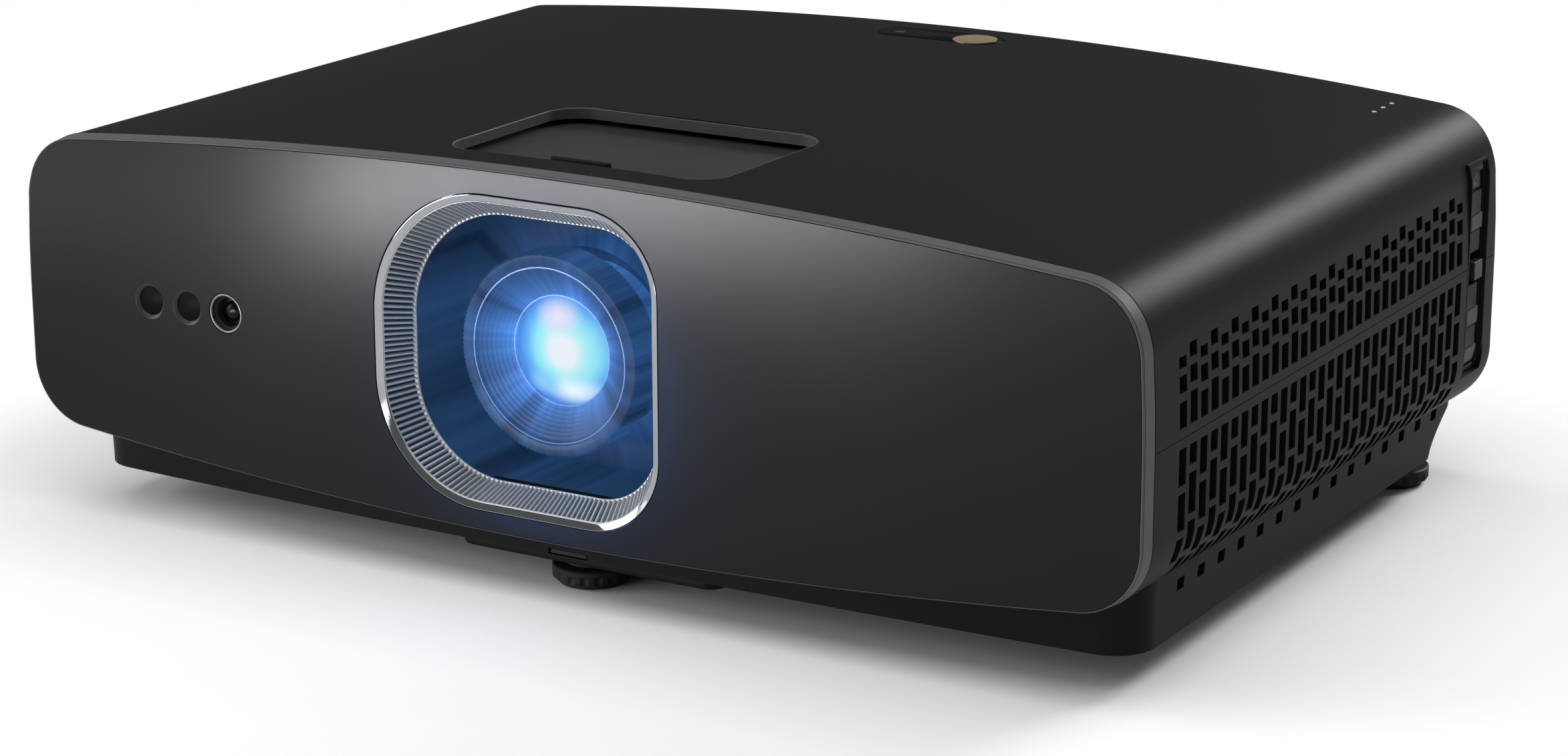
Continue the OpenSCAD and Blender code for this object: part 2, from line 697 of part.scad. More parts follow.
// Knurled disc with its screw; top is the screw's upper end
module foot_disc(x, y, top) {
    difference() {
        bar_z(x, y, 1.3, 6.4, foot_r);
        for (a = [0:20:340])
            translate([x, y, 0]) rotate([0, 0, a]) translate([foot_r - 0.7, -0.9, 0]) cube([2, 1.8, 4.6]);
    }
    bar_z(x, y, 6, top, screw_r);
}

module foot_pad(x, y) { bar_z(x, y, 0, 1.2, foot_r - 2.2); }

module front_foot_leg() color(dark_col) from_front() {
    difference() {
        bar_z(0, front_foot_y, 6.8, base_z + 19.8, leg_r);
        bar_z(0, front_foot_y, 6, base_z + 21, screw_r + run_gap);
    }
}

module front_foot_disc() color(dark_col) from_front() foot_disc(0, front_foot_y, base_z + 18);

module front_foot_pad() color(dark_col) from_front() foot_pad(0, front_foot_y);

module foot_release_button() color(dark_col) from_front() {
    block(-7, 7, base_front + 0.4, base_front + 3.3, base_z + 0.3, base_z + 1.8);
}

module rear_left_disc() color(dark_col) from_front() foot_disc(-rear_foot_x, rear_foot_y, base_z + 16);

module rear_right_disc() color(dark_col) from_front() foot_disc(rear_foot_x, rear_foot_y, base_z + 16);

module rear_left_pad() color(dark_col) from_front() foot_pad(-rear_foot_x, rear_foot_y);

module rear_right_pad() color(dark_col) from_front() foot_pad(rear_foot_x, rear_foot_y);

// ---- Rear ----

inlet_x = 45.3 - half_w;
hdmi_x = [-95, -70];
usb_x = -45;
jack_x = 40;

module rear_panel() color(case_col) from_front() {
    difference() {
        body_solid(wall + seat_gap, rear_y, rear_y + rear_t);
        block(inlet_x - 14, inlet_x + 14, rear_y - 1, body_d, board_z - 1, board_z + 21);
        for (x = hdmi_x) block(x - 7.9, x + 7.9, rear_y - 1, body_d, board_z + 1.5, board_z + 8.2);
        block(usb_x - 7, usb_x + 7, rear_y - 1, body_d, board_z + 1.5, board_z + 9.2);
        bar_y(jack_x, board_z + 6, rear_y - 1, body_d, 4.2);
        for (side = [-1, 1], k = [0:8])
            block(side * speaker_x - 26 + 6 * k, side * speaker_x - 23 + 6 * k, rear_y - 1, body_d,
                  speaker_z - 13, speaker_z + 13);
        for (k = [0:20])
            block(-62 + 6 * k, -59 + 6 * k, rear_y - 1, body_d, speaker_z - 21, speaker_z + 13);
        for (k = [0:13])
            block(76 + 6 * k, 79 + 6 * k, rear_y - 1, body_d, base_z + 34.5, base_z + 64.5);
    }
}

module power_inlet() color(dark_col) from_front() {
    difference() {
        union() {
            block(inlet_x - 13.7, inlet_x + 13.7, rear_y - 19, rear_y + rear_t + 0.6,
                  board_z - 0.7, board_z + 20.7);
            block(inlet_x - 16, inlet_x + 16, rear_y + rear_t + 0.1, rear_y + rear_t + 1.6,
                  board_z - 3, board_z + 23);
        }
        block(inlet_x - 12, inlet_x + 12, rear_y - 16, body_d, board_z + 1.7, board_z + 18.3);
        for (p = [[-7, 8], [7, 8], [0, 12]])
            block(inlet_x + p[0] - 1.1, inlet_x + p[0] + 1.1, rear_y - 22, rear_y,
                  board_z + p[1] - 2.1, board_z + p[1] + 2.1);
    }
}

module inlet_pins() color(steel_col) from_front() {
    for (p = [[-7, 8], [7, 8], [0, 12]])
        block(inlet_x + p[0] - 1, inlet_x + p[0] + 1, rear_y - 21, rear_y - 3,
              board_z + p[1] - 2, board_z + p[1] + 2);
}

// A metal socket shell with its contact tongue, standing on the main board
module socket(x, w, h, depth, tongue) {
    z = board_z + 1.7;
    difference() {
        block(x - w / 2, x + w / 2, rear_y + rear_t - depth, rear_y + rear_t + 0.3, z, z + h);
        block(x - w / 2 + 0.7, x + w / 2 - 0.7, rear_y + rear_t - depth + 1.5, body_d, z + 0.7, z + h - 0.7);
    }
    block(x - w / 2 + 2, x + w / 2 - 2, rear_y + rear_t - depth + 1, rear_y + rear_t - 1.5,
          z + h / 2 - tongue / 2, z + h / 2 + tongue / 2);
}

module hdmi_ports() color(steel_col) from_front() { for (x = hdmi_x) socket(x, 15.4, 6.2, 12, 1.6); }

module usb_port() color(steel_col) from_front() socket(usb_x, 13.6, 7.2, 14, 2);

module audio_jack() color(dark_col) from_front() {
    difference() {
        union() {
            block(jack_x - 6, jack_x + 6, rear_y - 13, rear_y - 0.2, board_z + 1.7, board_z + 12);
            bar_y(jack_x, board_z + 6, rear_y - 1, rear_y + rear_t + 0.8, 4);
        }
        bar_y(jack_x, board_z + 6, rear_y - 11, body_d, 1.8);
    }
}

// ---- Inside ----

module chassis_plate() color(steel_col) from_front() {
    difference() {
        block(14.3 - half_w, half_w - 14.3, 50, deck_back, deck_z, deck_top);
        for (k = [-3:3], row = [[0, deck_back - 18], [25, 65]])
            bar_z(k * 50 + row[0], row[1], deck_z - 1, deck_top + 1, 6);
    }
}

module light_engine() color(rim_col) from_front() {
    difference() {
        union() {
            block(-65, 45, engine_y, engine_back, 32, engine_top);
            for (x = [-55, 35], y = [engine_y + 10, engine_back - 10]) bar_z(x, y, deck_top + 0.1, 33, 6);
            for (z = [-23, 1, 25])
                block(-68, -64, engine_y + 6, engine_back - 6, chip_z + z - 1, chip_z + z + 1);
        }
        block(-62, 42, engine_y + 3, engine_back - 3, 35, engine_top - 3);
        bar_y(window_x, lens_z, engine_y - 1, engine_y + 4, 28);
        block(window_x - 14, window_x + 14, engine_back - 4, engine_back + 1, chip_z - 14, chip_z + 14);
        for (z = led_z) block(41, 46, 109, 121, z - 5, z + 5);
    }
}

module imaging_chip() color(board_col) from_front() {
    block(window_x - 24, window_x + 24, engine_back + 0.2, engine_back + 1.8, chip_z - 24, chip_z + 24);
    block(window_x - 12, window_x + 12, engine_back - 2.5, engine_back + 0.2, chip_z - 12, chip_z + 12);
}

module imaging_heat_sink() color(steel_col) from_front() {
    y0 = engine_back + 2;
    block(window_x - 26, window_x + 26, y0, y0 + 5, chip_z - 26, chip_z + 26);
    for (k = [0:9])
        block(window_x - 26 + 5.6 * k, window_x - 24.4 + 5.6 * k, y0 + 5, y0 + 28, chip_z - 26, chip_z + 26);
}

module led_modules() color(board_col) from_front() {
    for (z = led_z) {
        block(45.2, 47, 104, 126, z - 8, z + 8);
        block(41.5, 45.2, 111, 119, z - 3.5, z + 3.5);
        difference() {
            block(47, 60, 104, 126, z - 8, z + 8);
            bar_x(50, 61, 115, z, 3.1);
        }
    }
}

module heat_pipes() color([0.72, 0.45, 0.3]) from_front() {
    for (k = [0:2]) {
        z = led_z[k];
        x = fins_x + 14 + 24 * k;
        bar_x(52, x - 12, 115, z, 3);
        translate([x - 12, 127, z]) rotate([0, 0, -90]) rotate_extrude(angle = 90)
            translate([12, 0]) circle(3);
        bar_y(x, z, 127, 196, 3);
    }
}

module fin_stack() color(steel_col) from_front() {
    difference() {
        union() {
            for (k = [0:15])
                block(fins_x, fins_x + 80, 134 + 4 * k, 134.8 + 4 * k, lens_z - 31, lens_z + 29);
            for (x = [2, 76])
                block(fins_x + x, fins_x + x + 2, 134, 194.8, lens_z - 33, lens_z - 30.5);
            for (x = [2, 76], y = [136, 190])
                block(fins_x + x, fins_x + x + 2, y, y + 3, deck_top + 0.1, lens_z - 32);
        }
        for (k = [0:2]) bar_y(fins_x + 14 + 24 * k, led_z[k], 130, 200, 3.1);
    }
}

// A square fan frame with its bearing pin; side is -1 on the left, 1 on the right
module fan_frame(side, y) {
    difference() {
        union() {
            translate([side * fan_x, y, fan_z]) cube([15, 80, 80], center = true);
            for (d = [-34, 34]) block(side * fan_x - 3, side * fan_x + 3, y + d - 3, y + d + 3,
                                      deck_top + 0.1, fan_z - 38);
        }
        bar_x(side * fan_x - 9, side * fan_x + 9, y, fan_z, 38);
    }
    for (a = [0:90:270])
        translate([side * fan_x, y, fan_z]) rotate([a, 0, 0])
            translate([-7.5, -1.5, 15]) cube([2, 3, 24]);
    bar_x(side * fan_x - 7.5, side * fan_x - 5.5, y, fan_z, 17);
    bar_x(side * fan_x - 6, side * fan_x + 2, y, fan_z, 2);
}

module fan_rotor(side, y) {
    difference() {
        union() {
            bar_x(side * fan_x - 5, side * fan_x + 6, y, fan_z, 17);
            for (k = [0:6])
                translate([side * fan_x, y, fan_z]) rotate([k * 360 / 7, 0, 0])
                    translate([0, 0, 16]) rotate([0, 0, 38]) translate([-5.4, -0.7, 0]) cube([10.8, 1.4, 20]);
        }
        bar_x(side * fan_x - 6, side * fan_x + 3, y, fan_z, 2 + run_gap);
        bar_x(side * fan_x - 6, side * fan_x - 4, y, fan_z, 14);
    }
}

module intake_fan_frame() color(dark_col) from_front() fan_frame(-1, intake_y);

module intake_fan_rotor() color(dark_col) from_front() fan_rotor(-1, intake_y);

module exhaust_fan_frame() color(dark_col) from_front() fan_frame(1, exhaust_y);

module exhaust_fan_rotor() color(dark_col) from_front() fan_rotor(1, exhaust_y);

module main_board() color(board_col) from_front() {
    block(-106, 106, board_front, rear_y - 0.6, board_z, board_z + 1.6);
    block(-20, 20, board_front + 6, board_front + 32, board_z + 1.6, board_z + 6.4);
    block(60, 84, board_front + 10, board_front + 30, board_z + 1.6, board_z + 6);
    for (x = [-96, -80, -60]) bar_z(x, board_front + 14, board_z + 1.6, board_z + 11, 4);
}

module power_supply_board() color(board_col) from_front() {
    z = deck_top + 6;
    block(supply_x, supply_x + 84, 100, 212, z, z + 1.6);
    block(supply_x + 26, supply_x + 66, 108, 143, z + 1.6, z + 34);
    block(supply_x, supply_x + 25, 158, 188, z + 1.6, z + 28);
    for (x = [36, 60], y = [162, 186]) bar_z(supply_x + x, y, z + 1.6, z + 32, 9);
    for (x = [4, 80], y = [104, 208]) bar_z(supply_x + x, y, deck_top + 0.1, z, 3);
}

module speakers() color(dark_col) from_front() {
    for (side = [-1, 1]) {
        difference() {
            translate([side * speaker_x, 0, speaker_z]) block(-30, 30, rear_y - 38.5, rear_y - 0.3, -17, 17);
            translate([side * speaker_x, 0, speaker_z]) block(-28, 28, rear_y - 36.5, rear_y - 3, -15, 15);
            bar_y(side * speaker_x, speaker_z, rear_y - 4, rear_y, 13);
        }
        turned_y(side * speaker_x, speaker_z)
            polygon([[0, rear_y - 9], [5, rear_y - 9], [12.6, rear_y - 3.2], [14.5, rear_y - 3.2],
                     [14.5, rear_y - 4.4], [12, rear_y - 4.4], [5, rear_y - 11], [0, rear_y - 11]]);
    }
}

upper_case();
lower_case();
front_panel();
lens_bezel_ring();
lens_funnel();
lens_shroud();
sensor_windows();
camera_ring();
camera_lens();
focus_ring();
zoom_ring();
lens_barrel();
front_lens_glass();
rear_lens_glass();
lens_carriage();
lens_mount_frame();
guide_rods();
shift_dial();
sliding_door();
door_rails();
top_ir_window();
trim_disc();
status_lights();
keypad_frame();
power_button();
menu_button();
back_button();
source_button();
joystick_stem();
joystick_pivot();
joystick_cap();
key_board();
front_foot_leg();
front_foot_disc();
front_foot_pad();
foot_release_button();
rear_left_disc();
rear_right_disc();
rear_left_pad();
rear_right_pad();
rear_panel();
power_inlet();
inlet_pins();
hdmi_ports();
usb_port();
audio_jack();
chassis_plate();
light_engine();
imaging_chip();
imaging_heat_sink();
led_modules();
heat_pipes();
fin_stack();
intake_fan_frame();
intake_fan_rotor();
exhaust_fan_frame();
exhaust_fan_rotor();
main_board();
power_supply_board();
speakers();
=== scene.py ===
"""Dresses the home projector: case, vents, lens, keys and feet around its working parts."""

import json
import math
from collections import namedtuple
from functools import partial

import bmesh
import bpy
from mathutils import Matrix, Vector


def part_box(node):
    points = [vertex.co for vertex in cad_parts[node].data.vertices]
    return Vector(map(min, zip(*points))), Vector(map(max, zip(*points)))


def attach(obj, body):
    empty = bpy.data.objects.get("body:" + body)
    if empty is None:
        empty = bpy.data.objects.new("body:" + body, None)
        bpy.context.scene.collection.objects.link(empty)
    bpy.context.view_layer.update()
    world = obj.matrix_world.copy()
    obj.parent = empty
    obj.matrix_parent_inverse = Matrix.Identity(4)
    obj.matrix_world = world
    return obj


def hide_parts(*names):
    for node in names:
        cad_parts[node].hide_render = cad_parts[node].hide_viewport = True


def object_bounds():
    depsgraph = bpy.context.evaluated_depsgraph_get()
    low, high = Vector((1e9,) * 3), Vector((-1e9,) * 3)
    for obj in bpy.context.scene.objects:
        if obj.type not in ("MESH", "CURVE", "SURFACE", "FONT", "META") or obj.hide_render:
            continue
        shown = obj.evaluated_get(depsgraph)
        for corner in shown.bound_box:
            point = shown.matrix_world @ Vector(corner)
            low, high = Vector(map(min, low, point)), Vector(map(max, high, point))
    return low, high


bl_info = {
    "name": "Home projector",
    "version": (1, 0, 0),
    "blender": (4, 5, 0),
    "location": "View3D > Sidebar > Projector",
    "description": "Builds the case, lens, keys and feet of a home projector",
    "category": "Object",
}

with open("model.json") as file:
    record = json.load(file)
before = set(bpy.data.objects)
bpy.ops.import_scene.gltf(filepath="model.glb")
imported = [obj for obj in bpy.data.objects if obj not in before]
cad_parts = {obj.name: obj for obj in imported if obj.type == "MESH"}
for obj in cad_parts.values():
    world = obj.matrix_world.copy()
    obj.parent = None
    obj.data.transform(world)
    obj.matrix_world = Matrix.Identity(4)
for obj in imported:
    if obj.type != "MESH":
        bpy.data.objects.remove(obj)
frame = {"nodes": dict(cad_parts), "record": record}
CAD_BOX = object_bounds()
MM = 0.001
LOW, HIGH = CAD_BOX


def box_mm(node):
    """A node's corners in millimetres, with y counted back from the front face."""
    lo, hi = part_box(node)
    shift = Vector((0, LOW.y, 0))
    return (lo - shift) / MM, (hi - shift) / MM


def centre_of(node, axes):
    """The middle of a node's box, along each of the axes."""
    lo, hi = box_mm(node)
    return tuple((getattr(lo, axis) + getattr(hi, axis)) / 2 for axis in axes)


BEZEL = box_mm("lens_bezel_ring")
FOCUS = box_mm("focus_ring")
DOOR = box_mm("sliding_door")
KEYPAD = box_mm("keypad_frame")
HALF_W = HIGH.x / MM
DEPTH = (HIGH.y - LOW.y) / MM
TALL = HIGH.z / MM
AXIS_X, AXIS_Z = centre_of("focus_ring", "xz")
MOUTH = centre_of("lens_bezel_ring", "xz")
RING_Y = FOCUS[0].y

# Slots in one column, as heights of their ends over the base, in millimetres
UPPER_LOW = [(72.2, 80.3), (83, 88.2), (90.5, 94)]
UPPER_TALL = [(72.2, 82.2), (84.7, 90), (92.4, 97)]
LOWER_LONG = [(54.5, 66), (40.4, 52), (30, 38), (22, 28.4)]
LOWER_SHORT = [(59.5, 66), (44.2, 57), (32.3, 42), (22.8, 30)]
FOOT_SLOT = (14, 18)

# Half the gap at the seam, how far out the slotted sides begin, half the base's width, and how far
# the sensors' centres lie in from the ends of their windows' box, all in millimetres
SEAM_GAP = 0.12
SIDES_FROM = 190
BASE_HALF = 199.8
SENSOR_IN = 6.4

# Strength of the lens's light where it falls on its surroundings, and as the camera sees it
GLOW_REACH, GLOW_SEEN = 2.5, 0.95
# Distances in metres from the part's middle where the floor starts to turn white, and is white
WHITE_FROM, WHITE_FULL = 0.27, 0.52
WHITE = (1, 1, 1, 1)


# ---- Sizes and colours a user may change ----


def length(name, description, mm):
    return bpy.props.FloatProperty(
        name=name, description=description, default=mm * MM, unit="LENGTH", precision=5
    )


def number(name, description, default):
    return bpy.props.IntProperty(name=name, description=description, default=default)


def colour(name, description, rgb):
    return bpy.props.FloatVectorProperty(
        name=name, description=description, default=rgb, subtype="COLOR", size=3, min=0, max=1
    )


class ProjectorSizes(bpy.types.PropertyGroup):
    top_bow: length("Top bow", "How far the top falls from the middle to the sides", 10.9)
    belly_bow: length("Belly bow", "How far the underside rises to the sides", 12.3)
    belly_z: length("Belly height", "Height of the underside at its middle", 19.8)
    top_corner: length("Upper edge radius", "Radius of the long upper edges", 24)
    low_corner: length("Lower edge radius", "Radius of the long lower edges", 23)
    split_z: length("Seam height", "Height of the seam between the case halves", 80.6)
    rear_round: length("Rear rounding", "Radius of the case's rear edge", 5)
    rear_drop: length("Rear drop", "How far the lower edge sinks towards the rear", 5.5)
    skin: length("Wall", "Thickness of the case walls", 2.4)
    vent_y: length("First slot", "Place of the first column of slots", 26.3)
    vent_pitch: length("Slot pitch", "Distance between columns of slots", 7.44)
    vent_w: length("Slot width", "Width of a slot", 5)
    base_z: length("Base height", "Height of the base over the floor", 11.5)
    vent_columns: number("Slot columns", "Columns of slots on a side", 31)
    mouth_upper: length("Upper left corner", "Radius of that corner of the lens opening", 44)
    mouth_lower: length("Lower left corner", "Radius of that corner of the lens opening", 40)
    mouth_right: length("Right corners", "Radius of the lens opening's right corners", 27)
    mouth_drop: length("Funnel centre", "How far its point lies under the opening's middle", 9.4)
    mouth_in: length("Funnel lean", "How far the funnel leans in", 5.5)
    mouth_deep: length("Funnel depth", "How deep the ribs of the funnel are", 8)
    ribs: number("Ribs", "Ribs round the lens opening", 180)
    teeth: number("Teeth", "Teeth round the focus ring", 132)


class ProjectorColours(bpy.types.PropertyGroup):
    case: colour("Case", "Moulded case", (0.0065, 0.0065, 0.0067))
    panel: colour("Panel", "Front panel", (0.0095, 0.01, 0.011))
    rim: colour("Rim", "Edge of the front panel", (0.075, 0.077, 0.08))
    bezel: colour("Bezel", "Ring round the lens opening", (0.37, 0.38, 0.4))
    funnel: colour("Funnel", "Ribbed wall of the lens opening", (0.4, 0.4, 0.39))
    glow: colour("Glow", "Light that spills round the lens", (0.085, 0.32, 1.0))
    veil: colour("Veil", "Faint light deep in the opening", (0.14, 0.42, 1.0))
    inside: colour("Inside", "Dark inner parts", (0.012, 0.012, 0.013))
    keys: colour("Keys", "Side keys", (0.014, 0.014, 0.0145))
    board: colour("Board", "Circuit boards", (0.02, 0.14, 0.07))
    copper: colour("Copper", "Heat pipes", (0.72, 0.35, 0.2))
    steel: colour("Steel", "Sheet steel", (0.55, 0.56, 0.58))
    gold: colour("Disc", "Small trim disc", (0.8, 0.64, 0.38))
    floor: colour("Floor", "Floor and backdrop", (0.8, 0.8, 0.81))


def own_keys(group):
    """The names of a group's own settings."""
    return [key for key in group.bl_rna.properties.keys() if key not in ("rna_type", "name")]


def sizes():
    """The sizes in millimetres, and the counts as they are."""
    group = bpy.context.scene.projector_sizes
    values = {key: getattr(group, key) for key in own_keys(group)}
    return {key: v if isinstance(v, int) else v / MM for key, v in values.items()}


def paint_colour(key):
    return (*getattr(bpy.context.scene.projector_colours, key), 1)


# ---- Outlines ----


def share_of(value, whole):
    """How much of the whole a value is, kept between 0 and 1."""
    return max(0.0, min(1.0, value / whole))


def arc(cx, cz, r, start, end, steps):
    """Points on an arc, angles in degrees."""
    angles = [math.radians(start + (end - start) * i / steps) for i in range(steps + 1)]
    return [(cx + r * math.cos(a), cz + r * math.sin(a)) for a in angles]


def turned_ring(centre, steps, radius):
    """Points round a centre; radius gives each one's distance from its number."""
    turns = [math.tau * k / steps for k in range(steps)]
    return [
        (centre[0] + radius(k) * math.cos(a), centre[1] + radius(k) * math.sin(a))
        for k, a in enumerate(turns)
    ]


def level(points, z):
    """Plan points at one height."""
    return [(x, y, z) for x, y in points]


def upright(points, y):
    """Points seen from the front, at one depth."""
    return [(x, y, z) for x, z in points]


def bow_radius(half, bow):
    return (half * half + bow * bow) / (2 * bow)


def bowed_half(half, bow, corner):
    """A flat bow and the corner at its end: its radius, how far the corner's centre lies from
    the bow's, sideways and along, and the angle at which the two meet."""
    big = bow_radius(half, bow)
    aside = half - corner
    along = math.sqrt((big - corner) ** 2 - aside * aside)
    return big, aside, along, math.degrees(math.atan2(along, aside))


def top_at(s, x):
    big = bow_radius(HALF_W, s["top_bow"])
    return TALL - big + math.sqrt(big * big - x * x)


def side_draft(s, z):
    """The side leans in a little between the seam and the upper edge."""
    most, grows_over, ends_at, fades_over = 1.1, 26, 130, 14
    grown = share_of(z - s["split_z"], grows_over) ** 2
    return most * grown * share_of(ends_at - z, fades_over)


def half_line(s, inset, seam_z, up):
    """Half of the case's section, from the right seam over the top to the left one, or from the
    left seam under the belly to the right one."""
    if up:
        side, start, bow, corner = 1, 0, s["top_bow"], s["top_corner"]
    else:
        side, start, bow, corner = -1, 180, s["belly_bow"], s["low_corner"]
    big, x, along, meet = bowed_half(HALF_W, bow, corner)
    mid = TALL - big if up else s["belly_z"] + big
    z = mid + side * along
    edge = side * (HALF_W - inset)
    first = [(edge, seam_z), (edge, (seam_z + z) / 2)]
    first += arc(side * x, z, corner - inset, start, start + meet, 18)
    crown = arc(0, mid, big - inset, start + meet, start + 180 - meet, 44)[1:-1]
    line = first + crown + [(-px, pz) for px, pz in reversed(first)]
    return [(px - math.copysign(side_draft(s, pz), px), pz) for px, pz in line]


def whole_line(s, inset):
    """The panel's outline, all the way round."""
    return [point for up in (True, False) for point in half_line(s, inset, s["split_z"], up)[:-1]]


def window_samples(s, count, at):
    """Evenly spaced points round the lens opening, each as its corner's centre x and z, its
    outward direction x and z, and its corner's radius."""
    (x0, _, z0), (x1, _, z1) = BEZEL
    right, up, down = s["mouth_right"], s["mouth_upper"], s["mouth_lower"]
    corners = [
        (x1 - right, z1 - right, right, 0),
        (x0 + up, z1 - up, up, 90),
        (x0 + down, z0 + down, down, 180),
        (x1 - right, z0 + right, right, 270),
    ]
    spans = []
    for (cx, cz, r, a), (nx, nz, nr, _) in zip(corners, corners[1:] + corners[:1]):
        spans.append(((r - at) * math.pi / 2, cx, cz, r, a, 0, 0, 0, 90))
        spans.append((math.hypot(nx - cx, nz - cz), cx, cz, r, a + 90, nx - cx, nz - cz, nr - r, 0))
    total = sum(span[0] for span in spans)
    out = []
    for i in range(count):
        left_over = total * i / count
        for span in spans:
            if left_over < span[0]:
                break
            left_over -= span[0]
        far, cx, cz, r, a, dx, dz, dr, turn = span
        t = left_over / far
        a = math.radians(a + turn * t)
        out.append((cx + dx * t, cz + dz * t, math.cos(a), math.sin(a), r + dr * t))
    return out


def window_point(sample, inset, y):
    ax, az, nx, nz, r = sample
    return (ax + nx * (r - inset), y, az + nz * (r - inset))


def funnel_point(s, sample, inset, y, lean):
    """A point round the opening, drawn in towards the funnel's point; lean is 0 at the mouth and
    1 at the end."""
    x, _, z = window_point(sample, inset, y)
    half = (BEZEL[1].x - BEZEL[0].x) / 2
    cx, cz = MOUTH[0], MOUTH[1] - s["mouth_drop"]
    share = 1 - lean * s["mouth_in"] / (half - 2.5)
    return (cx + (x - cx) * share, y, cz + (z - cz) * share)


def round_plan(x0, x1, y0, y1, r, steps=8):
    """A rounded rectangle in plan."""
    corners = ((x1 - r, y1 - r), (x0 + r, y1 - r), (x0 + r, y0 + r), (x1 - r, y0 + r))
    return [
        point
        for k, (x, y) in enumerate(corners)
        for point in arc(x, y, r, 90 * k, 90 * k + 90, steps)
    ]


# ---- Mesh helpers, in millimetres until a piece is finished ----


def draw(bm, points, closed=True):
    """Draws a line through points. Returns its corners and edges."""
    verts = [bm.verts.new(p) for p in points]
    pairs = list(zip(verts, verts[1:] + verts[:1]))
    return verts, [bm.edges.new(pair) for pair in (pairs if closed else pairs[:-1])]


def merge(bm, gap=1e-4):
    bmesh.ops.remove_doubles(bm, verts=bm.verts, dist=gap)


def loft(bm, rings, closed=True):
    """Draws the first ring and extrudes its edges from ring to ring. Returns each ring's edges."""
    edges = draw(bm, rings[0], closed)[1]
    made_edges = [edges]

    def key(point):
        return tuple(round(c, 4) for c in point)

    for old, ring in zip(rings, rings[1:]):
        made = bmesh.ops.extrude_edge_only(bm, edges=edges)["geom"]
        place = {key(v.co): v for v in made if isinstance(v, bmesh.types.BMVert)}
        fresh = set(place.values())
        edges = [e for e in made if isinstance(e, bmesh.types.BMEdge) and fresh.issuperset(e.verts)]
        moved = [place[key(Vector(p))] for p in old]
        for v, p in zip(moved, ring):
            v.co = p
        made_edges.append(edges)
    return made_edges


def stack(bm, rings):
    """Rings joined one to the next, and closed at both ends."""
    edges = loft(bm, rings)
    for ring in (edges[0], edges[-1]):
        bmesh.ops.edgeloop_fill(bm, edges=ring)


def prism_up(bm, outline, z0, z1):
    """A plan outline drawn upwards, closed at both ends."""
    stack(bm, [level(outline, z0), level(outline, z1)])


def lathe(bm, profile, centre, steps, up=False):
    """Turns a closed profile, given as radius and place along the axis. The axis runs back through
    a centre (x, z), or upwards through a centre (x, y)."""
    u, v = centre
    if up:
        points, cent, axis = [(u + r, v, z) for r, z in profile], (u, v, 0), (0, 0, 1)
    else:
        points, cent, axis = [(u + r, y, v) for r, y in profile], (u, 0, v), (0, 1, 0)
    verts, edges = draw(bm, points)
    bmesh.ops.spin(
        bm, geom=verts + edges, cent=cent, axis=axis, angle=math.tau, steps=steps, use_merge=True
    )
    merge(bm)


def block(bm, lo, hi):
    size = Vector(hi) - Vector(lo)
    place = Matrix.Translation((Vector(hi) + Vector(lo)) / 2) @ Matrix.Diagonal((*size, 1))
    return bmesh.ops.create_cube(bm, size=1, matrix=place)["verts"]


def bevel(bm, edges, width, segments):
    bmesh.ops.bevel(
        bm, geom=edges, offset=width, offset_type="OFFSET", affect="EDGES", segments=segments,
        profile=0.5, material=-1, clamp_overlap=True,
    )


def round_bevel(bm, width, angle=30):
    """Rounds every edge sharper than an angle."""
    sharp = math.radians(angle)
    bevel(bm, [e for e in bm.edges if e.is_manifold and e.calc_face_angle(0) > sharp], width, 2)


def point_faces(bm, up):
    """Turns an open shell's faces outwards, told from its highest face, or else from its lowest."""
    bmesh.ops.recalc_face_normals(bm, faces=bm.faces)
    pick = (max if up else min)(bm.faces, key=lambda f: f.calc_center_median().z)
    if (pick.normal.z < 0) == up:
        bmesh.ops.reverse_faces(bm, faces=bm.faces)


def new_object(name, bm):
    """Makes an object from a mesh, which is used up."""
    mesh = bpy.data.meshes.new(name)
    bm.to_mesh(mesh)
    bm.free()
    made = bpy.data.objects.new(name, mesh)
    bpy.context.scene.collection.objects.link(made)
    return made


def settled_object(name, bm, outwards=True):
    """Moves a mesh from front-face millimetres to the part's own metres, and makes an object."""
    bmesh.ops.scale(bm, vec=(MM, MM, MM), verts=bm.verts)
    bmesh.ops.translate(bm, vec=(0, LOW.y, 0), verts=bm.verts)
    if outwards:
        bmesh.ops.recalc_face_normals(bm, faces=bm.faces)
    return new_object(name, bm)


cutter_of = partial(settled_object, "cutter")


def add_modifier(piece, name, kind, **settings):
    mod = piece.modifiers.new(name, kind)
    for key, value in settings.items():
        setattr(mod, key, value)


def finish_piece(name, bm, finish, slot, body="case", stands_for=(), sharp=32, wall=0, edge=0,
                 cuts=(), solid=True):
    """Makes a piece from a mesh in millimetres: wall, cuts and rounded edges, paint and body."""
    piece = settled_object(name, bm, solid)
    piece.data.shade_smooth()
    if wall:
        add_modifier(
            piece, "wall", "SOLIDIFY", thickness=wall * MM, offset=-1, use_even_offset=True
        )
    for cutter in cuts:
        add_modifier(piece, "cut", "BOOLEAN", operation="DIFFERENCE", solver="EXACT", object=cutter)
    if edge:
        add_modifier(
            piece, "edge", "BEVEL", width=edge * MM, segments=2, limit_method="ANGLE",
            angle_limit=math.radians(40), use_clamp_overlap=True,
        )
        add_modifier(piece, "shade", "WEIGHTED_NORMAL", keep_sharp=True)
    if piece.modifiers:
        shown = piece.evaluated_get(bpy.context.evaluated_depsgraph_get())
        mesh = bpy.data.meshes.new_from_object(shown)
        piece.modifiers.clear()
        piece.data = mesh
    for cutter in cuts:
        bpy.data.objects.remove(cutter)
    if not edge:
        piece.data.set_sharp_from_angle(angle=math.radians(sharp))
    piece.data.materials.clear()
    piece.data.materials.append(paint(finish))
    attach(piece, body)
    if stands_for:
        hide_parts(*stands_for)


